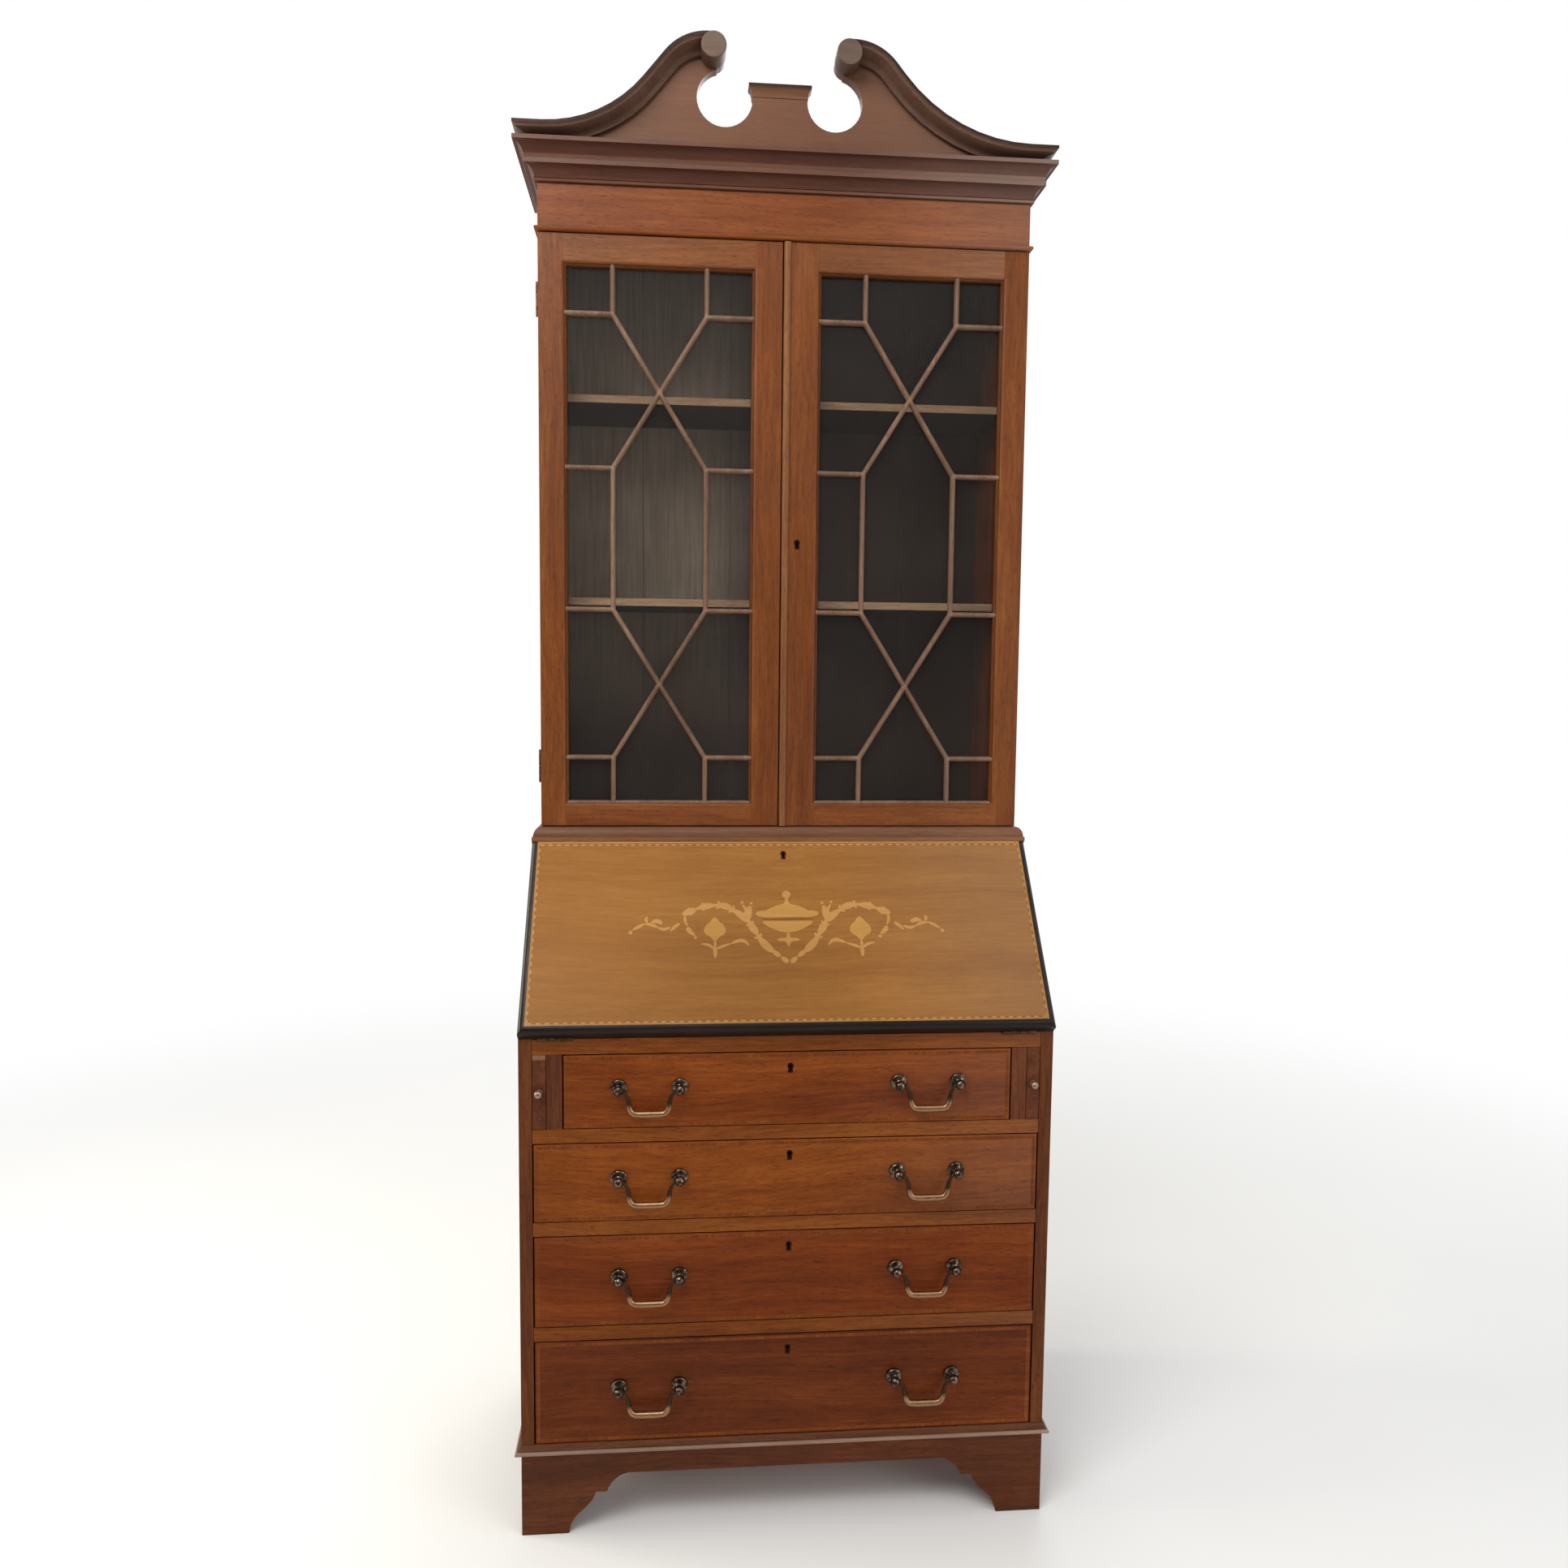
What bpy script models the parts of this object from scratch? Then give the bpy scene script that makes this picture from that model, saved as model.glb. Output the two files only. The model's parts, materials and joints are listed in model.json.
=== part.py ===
"""Bureau bookcase: a bureau with a sloping fall and four drawers, under a bookcase with glazed doors."""

import math

import bmesh
import bpy
from mathutils import Matrix, Vector
from mathutils.geometry import interpolate_bezier

# Clearances, in metres like every size below
CLEAR = 0.0003  # between pieces that touch
DRAWER_GAP = 0.0015  # round a drawer front
DOOR_GAP = 0.0015  # above, below and between the doors
DOOR_SHUT = 0.001  # between a shut door and the bookcase sides
OVERLAP = 0.003  # depth to which joined shapes run into each other
WELD = 0.000001

# Bureau carcase
WIDTH = 0.762
DEPTH = 0.430
SIDE_THICK = 0.0185
BACK_THICK = 0.010
BOTTOM_THICK = 0.0135
TOP_THICK = 0.018
RAIL_THICK = 0.020
GUIDE_THICK = 0.022
LOPER_WIDTH = 0.020
LOPER_BACK_GAP = 0.060
LOPER_GAP = 0.0005
KNOB_RADIUS = 0.006
KNOB_REACH = 0.0145
KNOB_NECK = 0.003
KNOB_FOOT = 0.005
KNOB_FOOT_THICK = 0.0015

# Plinth with bracket feet
PLINTH_HEIGHT = 0.123
PLINTH_THICK = 0.018
FOOT_WIDTH = 0.067
FOOT_CUSP = 0.061
FOOT_CUSP_OUT = 0.039
FOOT_STEP = 0.0155
APRON_HEIGHT = 0.088
APRON_OUT = 0.030

# Drawers
TOP_DRAWER = 0.1075  # heights of the openings
SECOND_DRAWER = 0.115
THIRD_DRAWER = 0.1345
BOTTOM_DRAWER = 0.1535
FRONT_THICK = 0.020
FRONT_ROUND = 0.002
LINING_THICK = 0.010
DRAWER_BOTTOM = 0.007
BOX_DROP = 0.020  # the box sides stand this much lower than the front
BOX_BACK_GAP = 0.024

# Swan-neck handles
HANDLE_INSET = 0.182  # from the carcase side to the middle of a handle
HANDLE_LIFT = 0.0055
POST_SPACING = 0.086
POST_REACH = 0.016
POST_HEAD = 0.0062
POST_NECK = 0.0040
ROSETTE_RADIUS = 0.0105
ROSETTE_THICK = 0.0022
POST_FOOT = 0.0048
POST_FLARE = 0.001
BAIL_INSET = 0.012  # from a post to the bail's arm
BAIL_DROP = 0.034
BAIL_CORNER = 0.012
BAIL_NECK = 0.0035
BAIL_RADIUS = 0.0024
GRIP_SWELL = 1.6
PIN_PAST = 0.0015

# Keyholes
KEY_RADIUS = 0.0022
KEY_SLOT = 0.0011
KEY_LENGTH = 0.0075
KEY_DEPTH = 0.012
KEY_DOWN = 0.0215

# Fall
FALL_SLOPE = math.radians(52.0)
FALL_LENGTH = 0.305
FALL_THICK = 0.0225
FALL_ROUND = 0.010
FALL_END = 0.0005  # gap between the open fall and the bed
FALL_HINGE_INSET = 0.051
FALL_KNUCKLE = 0.003
HINGE_LENGTH = 0.050
HINGE_PIN = 0.0012
LEAF_THICK = 0.0015
LEAF_REACH = 0.026

# Pigeonholes behind the fall
NEST_HEIGHT = 0.180
NEST_DEPTH = 0.150
NEST_WALL = 0.008
NEST_LOW_ROW = 0.052
NEST_LOW_CELLS = 4
NEST_HIGH_CELLS = 6

# Mouldings
BASE_OUT = 0.0085
BASE_HEIGHT = 0.0135
BASE_NOSE = 0.003  # radius of its round foot
MOULDING_CREST = 0.001  # upper edge of a moulding that runs up to nothing
WAIST_OUT = 0.0135
WAIST_HEIGHT = 0.021
WAIST_LIP = 0.006
WAIST_QUIRK = 0.002  # the quarter round starts this far behind the lip
BEAD_OUT = 0.005
BEAD_HEIGHT = 0.007
CORNICE_OUT = 0.032
CORNICE_HEIGHT = 0.0535
CORNICE_BEAD = 0.006
CORNICE_BEAD_OUT = 0.005
CORNICE_STEP = 0.001
CORNICE_COVE = 0.01525
CORNICE_COVE_OUT = 0.013
CORNICE_FACE = 0.0065
CORNICE_LIP = 0.006

# Bookcase
CASE_SIDE = 0.016
CASE_TOP = 0.016
SHELF_THICK = 0.012
SHELF_SETBACK = 0.060
SHELF_GROOVE = 0.006
LOWER_SHELF = 0.372  # top faces, above the bureau top
UPPER_SHELF = 0.680
FRIEZE_HEIGHT = 0.068

# Glazed doors
DOOR_HEIGHT = 0.874
DOOR_THICK = 0.020
OUTER_STILE = 0.0375
CENTRE_STILE = 0.0485  # from the centre line to the glass
TOP_RAIL = 0.0415
LOW_RAIL = 0.0345
MEETING_BEAD = 0.012
MEETING_BEAD_OUT = 0.005
REBATE = 0.008
REBATE_DEPTH = 0.0085
GLASS_THICK = 0.003
BAR_WIDTH = 0.008
BAR_DEPTH = 0.009
BAR_BORDER = 0.004
PANE_SIDE = 0.071  # width of the outer panes, to the middle of the bar
PANE_END = 0.070  # height of the end panes
PANE_MIDDLE = 0.105  # half the height of the middle panes
DOOR_KEY_X = 0.0186
DOOR_KEY_LIFT = 0.433  # above the foot of the door
DOOR_KNUCKLE = 0.0024
DOOR_HINGE_INSET = 0.090
LEAF_MARGIN = 0.0015  # from a door hinge's leaf to the inside of the case

# Pediment
PEDIMENT_THICK = 0.018
SWAN_BAND = 0.0205
SWAN_RISE = 0.1335
SWAN_LEVEL = 0.010  # level stretch at the corner
SWAN_SLOPE = math.radians(50.0)  # of the straight stretch between its two arcs
SWAN_HIGH_RADIUS = 0.082
SWAN_LIP = 0.004
SWAN_QUIRK = 0.003
SWAN_QUIRK_DROP = 0.001
SWAN_FOOT_OUT = 0.007
SWAN_FOOT_LIP = 0.002
PEDIMENT_OFF = -0.0135  # X of the middle between the scrolls
SWAN_PEAK_X = 0.1055  # from that middle, as the scrolls and the round cut-outs are
SCROLL_X = 0.0985
SCROLL_RADIUS = 0.0185
SCROLL_PROUD = 0.0025  # in front of the moulding
SCROLL_ROUND = 0.002
ROUND_X = 0.0815
ROUND_RADIUS = 0.041
ROUND_NECK = 0.002  # wood between a scroll and the round cut-out
CAP_RISE = 0.021  # the cap's top above the middle of the cut-outs
CAP_HEIGHT = 0.018
CAP_OUT = 0.006
CAP_LIP = 0.0045
EDGE_BACK = 0.001  # the board's edge keeps this far behind the swan mouldings

DRAWER_OPENINGS = (TOP_DRAWER, SECOND_DRAWER, THIRD_DRAWER, BOTTOM_DRAWER)
SHELF_LEVELS = {"lower": LOWER_SHELF, "upper": UPPER_SHELF}

# Places that follow from the sizes
FRONT = (POST_REACH + POST_HEAD - DEPTH) / 2  # Y of the carcase front
INNER = WIDTH / 2 - SIDE_THICK
INSIDE_DEPTH = DEPTH - BACK_THICK - CLEAR
HANDLE_X = WIDTH / 2 - HANDLE_INSET
BAIL_HALF = POST_SPACING / 2 - BAIL_INSET
FALL_HINGE_X = WIDTH / 2 - FALL_HINGE_INSET
CASE_FOOT = PLINTH_HEIGHT + CLEAR
FLOOR_Z = CASE_FOOT + BOTTOM_THICK
BED_UNDER = FLOOR_Z + sum(DRAWER_OPENINGS) + RAIL_THICK * (len(DRAWER_OPENINGS) - 1)
BED_Z = BED_UNDER + FALL_THICK
SLOPE_COS = math.cos(FALL_SLOPE)
SLOPE_SIN = math.sin(FALL_SLOPE)
FALL_REACH = FALL_LENGTH + CLEAR
TOP_Z = BED_Z + FALL_REACH * SLOPE_SIN + FALL_THICK * SLOPE_COS
TOP_FRONT = FALL_REACH * SLOPE_COS - FALL_THICK * SLOPE_SIN
TOP_UNDER = TOP_Z - TOP_THICK
CASE_HALF = WIDTH / 2 - WAIST_OUT
CASE_FRONT = TOP_FRONT + WAIST_OUT
CASE_BACK = CASE_FRONT + DOOR_THICK + DOOR_SHUT
CASE_INNER = CASE_HALF - CASE_SIDE
CASE_FLOOR = TOP_Z + WAIST_HEIGHT
DOOR_FOOT = CASE_FLOOR + DOOR_GAP
DOOR_HEAD = DOOR_FOOT + DOOR_HEIGHT
FRIEZE_FOOT = DOOR_HEAD + DOOR_GAP
FRIEZE_TOP = FRIEZE_FOOT + FRIEZE_HEIGHT
CORNICE_TOP = FRIEZE_TOP + CORNICE_HEIGHT
SWAN_FOOT = CORNICE_TOP + CLEAR + SWAN_BAND
SWAN_PEAK = SWAN_FOOT + SWAN_RISE
SCROLL_Z = SWAN_PEAK - SCROLL_RADIUS
SCROLL_OUT = CORNICE_OUT + SCROLL_PROUD
SCROLL_EDGE = SCROLL_RADIUS - EDGE_BACK
ROUND_APART = SCROLL_EDGE + ROUND_NECK + ROUND_RADIUS
ROUND_Z = SCROLL_Z - math.sqrt(ROUND_APART ** 2 - (SCROLL_X - ROUND_X) ** 2)
DOOR_HINGE_X = CASE_HALF + DOOR_KNUCKLE + 2 * CLEAR
DOOR_HINGE_DEPTH = CASE_FRONT + DOOR_THICK + DOOR_SHUT / 2

SIDES = {"left": -1, "right": 1}

for old in list(bpy.data.objects):
    bpy.data.objects.remove(old)

parts = bpy.data.collections.new("bureau_bookcase")
helpers = bpy.data.collections.new("cutters")
bpy.context.scene.collection.children.link(parts)
bpy.context.scene.collection.children.link(helpers)


def finish(name, colour, roughness, metallic=0.0, transmission=0.0):
    made = bpy.data.materials.new(name)
    made.use_nodes = True
    shader = made.node_tree.nodes["Principled BSDF"]
    shader.inputs["Base Color"].default_value = (*colour, 1.0)
    shader.inputs["Roughness"].default_value = roughness
    shader.inputs["Metallic"].default_value = metallic
    shader.inputs["Transmission Weight"].default_value = transmission
    return made


MAHOGANY = finish("mahogany", (0.20, 0.065, 0.024), 0.35)
DOOR_WOOD = finish("door_mahogany", (0.27, 0.105, 0.042), 0.35)
CORNICE_WOOD = finish("cornice_mahogany", (0.17, 0.075, 0.042), 0.40)
FALL_WOOD = finish("fall_veneer", (0.42, 0.22, 0.075), 0.30)
LINING = finish("lining_oak", (0.36, 0.23, 0.12), 0.60)
BRASS = finish("brass", (0.40, 0.29, 0.15), 0.35, 1.0)
GLASS = finish("glass", (0.85, 0.90, 0.86), 0.03, 0.0, 1.0)


def place(obj, look):
    """Puts a piece among the parts, or a helper with no finish among the cutters."""
    if look is None:
        helpers.objects.link(obj)
        obj.hide_render = True
        obj.display_type = "WIRE"
    else:
        parts.objects.link(obj)
        obj.data.materials.append(look)
    return obj


def piece(name, shape, look, matrix=None):
    """The object of a finished shape, with smooth faces except at its edges."""
    bmesh.ops.recalc_face_normals(shape, faces=shape.faces)
    mesh = bpy.data.meshes.new(name)
    shape.to_mesh(mesh)
    shape.free()
    mesh.shade_smooth()
    mesh.set_sharp_from_angle(angle=math.radians(35))
    obj = bpy.data.objects.new(name, mesh)
    obj.matrix_world = matrix or Matrix()
    return place(obj, look)


def board(low, high):
    """The bare shape of a square-edged board from one corner to the other."""
    shape = bmesh.new()
    bmesh.ops.create_cube(shape, size=1.0)
    bmesh.ops.scale(shape, vec=Vector(high) - Vector(low), verts=shape.verts)
    bmesh.ops.translate(shape, vec=(Vector(low) + Vector(high)) / 2, verts=shape.verts)
    return shape


def block(name, low, high, look=None, matrix=None):
    """A square-edged board from one corner to the other, given as X, depth and height."""
    return piece(name, board(low, high), look, matrix or Matrix.Translation((0, FRONT, 0)))


def rounded(shape, edges, radius, segments):
    """Rounds some edges of a bare shape."""
    bmesh.ops.bevel(shape, geom=edges, offset=radius, segments=segments, profile=0.5, affect="EDGES")
    return shape


def rod(name, radius, start, end, look=None, sides=16, matrix=None):
    """A round bar between two points, given as X, depth and height."""
    along = Vector(end) - Vector(start)
    shape = bmesh.new()
    bmesh.ops.create_cone(
        shape, cap_ends=True, segments=sides, radius1=radius, radius2=radius, depth=along.length
    )
    turn = Vector((0, 0, 1)).rotation_difference(along).to_matrix()
    bmesh.ops.rotate(shape, matrix=turn, verts=shape.verts)
    bmesh.ops.translate(shape, vec=(Vector(start) + Vector(end)) / 2, verts=shape.verts)
    return piece(name, shape, look, matrix or Matrix.Translation((0, FRONT, 0)))


def solid_of(name, source, look, matrix):
    """The mesh piece made from a curve or a turned profile, which is then removed."""
    bpy.context.scene.collection.objects.link(source)
    graph = bpy.context.evaluated_depsgraph_get()
    mesh = bpy.data.meshes.new_from_object(source.evaluated_get(graph))
    bpy.data.objects.remove(source)
    shape = bmesh.new()
    shape.from_mesh(mesh)
    bmesh.ops.remove_doubles(shape, verts=shape.verts, dist=WELD)
    return piece(name, shape, look, matrix)


def outline(name, loops, thickness, matrix, look=None):
    """A flat board: the first loop is its edge and the others are openings in it."""
    curve = bpy.data.curves.new(name, "CURVE")
    curve.dimensions = "2D"
    curve.fill_mode = "BOTH"
    curve.extrude = thickness / 2
    for loop in loops:
        spline = curve.splines.new("POLY")
        spline.points.add(len(loop) - 1)
        spline.use_cyclic_u = True
        for point, (u, v) in zip(spline.points, loop):
            point.co = (u, v, 0, 1)
    return solid_of(name, bpy.data.objects.new(name, curve), look, matrix)


def facing(depth):
    """For an outline of X and height: its middle lies at this depth."""
    return Matrix(((1, 0, 0, 0), (0, 0, -1, FRONT + depth), (0, 1, 0, 0), (0, 0, 0, 1)))


def endwise(x):
    """For an outline of depth and height: its middle lies at this X."""
    return Matrix(((0, 0, 1, x), (1, 0, 0, FRONT), (0, 1, 0, 0), (0, 0, 0, 1)))


def turned(name, profile, matrix, look=None, steps=14):
    """A shape turned about its own Z from (radius, height) points, listed from the top down."""
    mesh = bpy.data.meshes.new(name)
    points = [(radius, 0, height) for radius, height in profile]
    mesh.from_pydata(points, [(i, i + 1) for i in range(len(points) - 1)], [])
    source = bpy.data.objects.new(name, mesh)
    screw = source.modifiers.new("turn", "SCREW")
    screw.steps = steps
    screw.render_steps = steps
    screw.use_merge_vertices = True
    screw.merge_threshold = WELD
    return solid_of(name, source, look, matrix)


def moulding(name, profile, stations, look=None):
    """A strip of one section, carried through stations of origin, outward and upward directions."""
    shape = bmesh.new()
    rings = []
    for origin, out, up in stations:
        corners = [Vector(origin) + Vector(out) * o + Vector(up) * h for o, h in profile]
        rings.append([shape.verts.new(corner) for corner in corners])
    for near, far in zip(rings, rings[1:]):
        for i in range(len(profile)):
            shape.faces.new((near[i - 1], near[i], far[i], far[i - 1]))
    shape.faces.new(rings[0])
    shape.faces.new(rings[-1])
    return piece(name, shape, look, Matrix.Translation((0, FRONT, 0)))


def round_three_sides(half, front, foot):
    """Stations of a moulding that runs along the left side, the front and the right side."""
    up = (0, 0, 1)
    return [
        ((-half, DEPTH, foot), (-1, 0, 0), up),
        ((-half, front, foot), (-1, -1, 0), up),
        ((half, front, foot), (1, -1, 0), up),
        ((half, DEPTH, foot), (1, 0, 0), up),
    ]


def arc(centre, radius, start, end, steps):
    """Points on a circle from one angle to another, in degrees."""
    turns = [math.radians(start + (end - start) * i / steps) for i in range(steps + 1)]
    return [(centre[0] + radius * math.cos(t), centre[1] + radius * math.sin(t)) for t in turns]


def nosed_hollow(out, height, nose, steps=6):
    """Section of a moulding with a round nose at its foot, and a hollow that runs up from it to nothing."""
    foot = arc((out - nose, nose), nose, -90, 60, steps)
    outer, low = foot[-1]
    across = outer - MOULDING_CREST
    rise = height - low
    curve = [(outer - across * math.sin(t), low + rise * (1 - math.cos(t))) for t in quarter(steps)]
    return [(CLEAR, 0), *foot, *curve[1:], (CLEAR, height)]


def lipped_round(out, height, lip, quirk, steps=6):
    """Section of a moulding with an upright lip at its foot, and a quarter round that starts behind it."""
    across = out - quirk - MOULDING_CREST
    rise = height - lip
    curve = [(MOULDING_CREST + across * math.cos(t), lip + rise * math.sin(t)) for t in quarter(steps)]
    return [(CLEAR, 0), (out, 0), (out, lip), *curve, (CLEAR, height)]


def quarter(steps):
    return [math.pi / 2 * i / steps for i in range(steps + 1)]


def boolean(target, tool, operation):
    change = target.modifiers.new(tool.name, "BOOLEAN")
    change.operation = operation
    change.object = tool
    change.solver = "EXACT"
    change.material_mode = "TRANSFER"


def cut(target, *tools):
    for tool in tools:
        boolean(target, tool, "DIFFERENCE")


def join(target, *tools):
    for tool in tools:
        boolean(target, tool, "UNION")


def tinted(tool, look):
    """Gives a helper a finish of its own, which the faces it adds keep."""
    tool.data.materials.append(look)
    return tool


def pivot(name, location):
    """An empty on the axis of a joint, which carries the pieces that move on it."""
    empty = bpy.data.objects.new(name, None)
    empty.location = location
    empty.empty_display_size = 0.03
    parts.objects.link(empty)
    return empty


def carry(carrier, *riders):
    for rider in riders:
        rider.parent = carrier
        rider.matrix_parent_inverse = carrier.matrix_basis.inverted()


def keyhole(name, x, depth, height):
    """A keyhole cutter whose round end is at this place, let in from the front."""
    half = KEY_SLOT / KEY_RADIUS
    start = 270 + math.degrees(math.asin(half))
    ring = arc((x, height), KEY_RADIUS, start, start + 360 - 2 * math.degrees(math.asin(half)), 14)
    slot = [(x - KEY_SLOT, height - KEY_LENGTH), (x + KEY_SLOT, height - KEY_LENGTH)]
    return outline(name, [ring + slot], 2 * KEY_DEPTH, facing(depth))


def slope_depth(height):
    """Depth of the fall's inner face at a height."""
    return (height - BED_Z) / math.tan(FALL_SLOPE)


def bracket():
    """A bracket foot's inner edge, as (distance from the corner, height), out to the apron."""
    cusp = (FOOT_WIDTH + FOOT_CUSP_OUT, FOOT_CUSP)
    step = (cusp[0] + FOOT_STEP, FOOT_CUSP)
    apron = (step[0] + APRON_OUT, APRON_HEIGHT)
    low = smooth((FOOT_WIDTH, 0), (0.05, 0.55), (0.83, 0.55), cusp)
    high = smooth(step, (0.17, 0.55), (0.57, 0.92), apron)
    return [(0, 0), *low, *high]


def smooth(start, first, second, end, points=7):
    """A curve between two points, with its handles as shares of the box that the points span."""
    across = Vector(end) - Vector(start)
    handles = [Vector(start) + Vector((across.x * u, across.y * v)) for u, v in (first, second)]
    knots = [Vector((*p, 0)) for p in (start, handles[0], handles[1], end)]
    return [(p.x, p.y) for p in interpolate_bezier(*knots, points)]


def make_plinth():
    foot = bracket()
    left = [(-WIDTH / 2 + u, z) for u, z in foot]
    right = [(WIDTH / 2 - u, z) for u, z in reversed(foot)]
    head = [(WIDTH / 2, PLINTH_HEIGHT), (-WIDTH / 2, PLINTH_HEIGHT)]
    outline("plinth_front", [left + right + head], PLINTH_THICK, facing(PLINTH_THICK / 2), MAHOGANY)
    start = PLINTH_THICK + CLEAR
    near = [(start, 0), *foot[1:]]
    far = [(DEPTH - u, z) for u, z in reversed(foot)]
    loop = near + far + [(DEPTH, PLINTH_HEIGHT), (start, PLINTH_HEIGHT)]
    for name, side in SIDES.items():
        middle = side * (WIDTH - PLINTH_THICK) / 2
        outline(f"plinth_{name}", [loop], PLINTH_THICK, endwise(middle), MAHOGANY)


def make_carcase():
    side_top = TOP_UNDER - CLEAR
    loop = [
        (0, CASE_FOOT),
        (INSIDE_DEPTH, CASE_FOOT),
        (INSIDE_DEPTH, side_top),
        (slope_depth(side_top), side_top),
        (0, BED_Z),
    ]
    for name, side in SIDES.items():
        middle = side * (WIDTH - SIDE_THICK) / 2
        outline(f"bureau_side_{name}", [loop], SIDE_THICK, endwise(middle), MAHOGANY)
    edge = INNER - CLEAR
    block("bureau_bottom", (-edge, 0, CASE_FOOT), (edge, INSIDE_DEPTH, FLOOR_Z), MAHOGANY)
    block(
        "bureau_back",
        (-WIDTH / 2, DEPTH - BACK_THICK, CASE_FOOT),
        (WIDTH / 2, DEPTH, side_top),
        MAHOGANY,
    )
    undercut = (FALL_REACH * SLOPE_COS, BED_Z + FALL_REACH * SLOPE_SIN)
    top = [
        (TOP_FRONT, TOP_Z),
        undercut,
        (slope_depth(TOP_UNDER), TOP_UNDER),
        (DEPTH, TOP_UNDER),
        (DEPTH, TOP_Z),
    ]
    outline("bureau_top", [top], WIDTH, endwise(0), MAHOGANY)
    make_rails(edge)
    moulding(
        "base_moulding",
        nosed_hollow(BASE_OUT, BASE_HEIGHT, BASE_NOSE),
        round_three_sides(WIDTH / 2, 0, CASE_FOOT),
        MAHOGANY,
    )


def make_rails(edge):
    """The drawer rails with their dust boards. The top one also carries the upright loper guides."""
    level = BED_UNDER
    for number, opening in enumerate(DRAWER_OPENINGS[:-1], start=1):
        level -= opening
        low = (-edge, 0, level - RAIL_THICK)
        rail = block(f"drawer_rail_{number}", low, (edge, INSIDE_DEPTH, level), MAHOGANY)
        if number == 1:
            outer = INNER - LOPER_WIDTH
            for name, side in SIDES.items():
                ends = sorted((side * outer, side * (outer - GUIDE_THICK)))
                low = (ends[0], 0, level - OVERLAP)
                high = (ends[1], INSIDE_DEPTH, BED_UNDER - CLEAR)
                join(rail, block(f"loper_guide_{name}", low, high))
        level -= RAIL_THICK


def make_writing_bed():
    edge = INNER - CLEAR
    bed = block("writing_bed", (-edge, 0, BED_UNDER), (edge, INSIDE_DEPTH, BED_Z), MAHOGANY)
    half = HINGE_LENGTH / 2 + CLEAR
    for name, side in SIDES.items():
        x = side * FALL_HINGE_X
        start = (x - half, 0, BED_Z)
        end = (x + half, 0, BED_Z)
        groove = rod(f"fall_hinge_groove_{name}", FALL_KNUCKLE + CLEAR, start, end)
        low = (x - half, -OVERLAP, BED_Z - LEAF_THICK - CLEAR)
        seat = block(f"fall_leaf_seat_{name}", low, (x + half, LEAF_REACH + CLEAR, BED_Z + OVERLAP))
        cut(bed, groove, seat)


def make_fall():
    """The fall, drawn in its own frame: X across, Y up the slope and Z out of its face."""
    frame = Matrix.Translation((0, FRONT, BED_Z)) @ Matrix.Rotation(FALL_SLOPE, 4, "X")
    shape = board((-WIDTH / 2, FALL_END, CLEAR), (WIDTH / 2, FALL_LENGTH, FALL_THICK))
    edges = [e for e in shape.edges if all(v.co.z > FALL_THICK / 2 for v in e.verts)]
    moulded = [e for e in edges if min(v.co.y for v in e.verts) < FALL_LENGTH / 2]
    panel = piece("fall_panel", rounded(shape, moulded, FALL_ROUND, 4), FALL_WOOD, frame)
    half = HINGE_LENGTH / 2
    for name, side in SIDES.items():
        x = side * FALL_HINGE_X
        groove_end = half + CLEAR
        groove = rod(
            f"fall_groove_{name}",
            FALL_KNUCKLE + CLEAR,
            (x - groove_end, 0, 0),
            (x + groove_end, 0, 0),
            matrix=frame,
        )
        near = (x - side * CLEAR, 0, 0)
        far = (x - side * half, 0, 0)
        knuckle = rod(f"fall_knuckle_{name}", FALL_KNUCKLE, near, far, matrix=frame)
        ends = sorted((near[0], far[0]))
        web = block(
            f"fall_leaf_{name}",
            (ends[0], 0, CLEAR),
            (ends[1], FALL_KNUCKLE + OVERLAP, CLEAR + LEAF_THICK),
            matrix=frame,
        )
        bore = rod(
            f"fall_bore_{name}",
            HINGE_PIN + CLEAR,
            (x + side * half, 0, 0),
            (x - side * (half + OVERLAP), 0, 0),
            sides=12,
            matrix=frame,
        )
        cut(panel, groove)
        join(panel, tinted(knuckle, BRASS), tinted(web, BRASS))
        cut(panel, bore)
        make_fall_hinge(name, side)
    cut(panel, fall_keyhole(frame))
    axis = pivot("fall_axis", (0, FRONT, BED_Z))
    carry(axis, panel)


def fall_keyhole(frame):
    """The fall's keyhole, near its upper edge."""
    key = keyhole("fall_keyhole", 0, -FRONT, FALL_LENGTH - KEY_DOWN)
    swing = Matrix.Translation((0, 0, FALL_THICK)) @ Matrix.Rotation(-math.pi / 2, 4, "X")
    key.matrix_world = frame @ swing @ key.matrix_world
    return key


def make_fall_hinge(name, side):
    """The leaf on the bed, with the outer knuckle and the pin."""
    half = HINGE_LENGTH / 2
    x = side * FALL_HINGE_X
    low = (x - half, FALL_KNUCKLE + 2 * CLEAR, BED_Z - LEAF_THICK)
    hinge = block(f"fall_hinge_{name}", low, (x + half, LEAF_REACH, BED_Z), BRASS)
    near = (x + side * CLEAR, 0, BED_Z)
    far = (x + side * half, 0, BED_Z)
    knuckle = rod(f"fall_hinge_knuckle_{name}", FALL_KNUCKLE, near, far)
    ends = sorted((near[0], far[0]))
    web_low = (ends[0], 0, BED_Z - LEAF_THICK)
    web = block(f"fall_hinge_web_{name}", web_low, (ends[1], FALL_KNUCKLE + OVERLAP, BED_Z))
    inner_end = (x - side * (half - CLEAR), 0, BED_Z)
    pin = rod(f"fall_hinge_pin_{name}", HINGE_PIN, (x + side * half / 2, 0, BED_Z), inner_end, sides=12)
    join(hinge, web, knuckle, pin)


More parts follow.
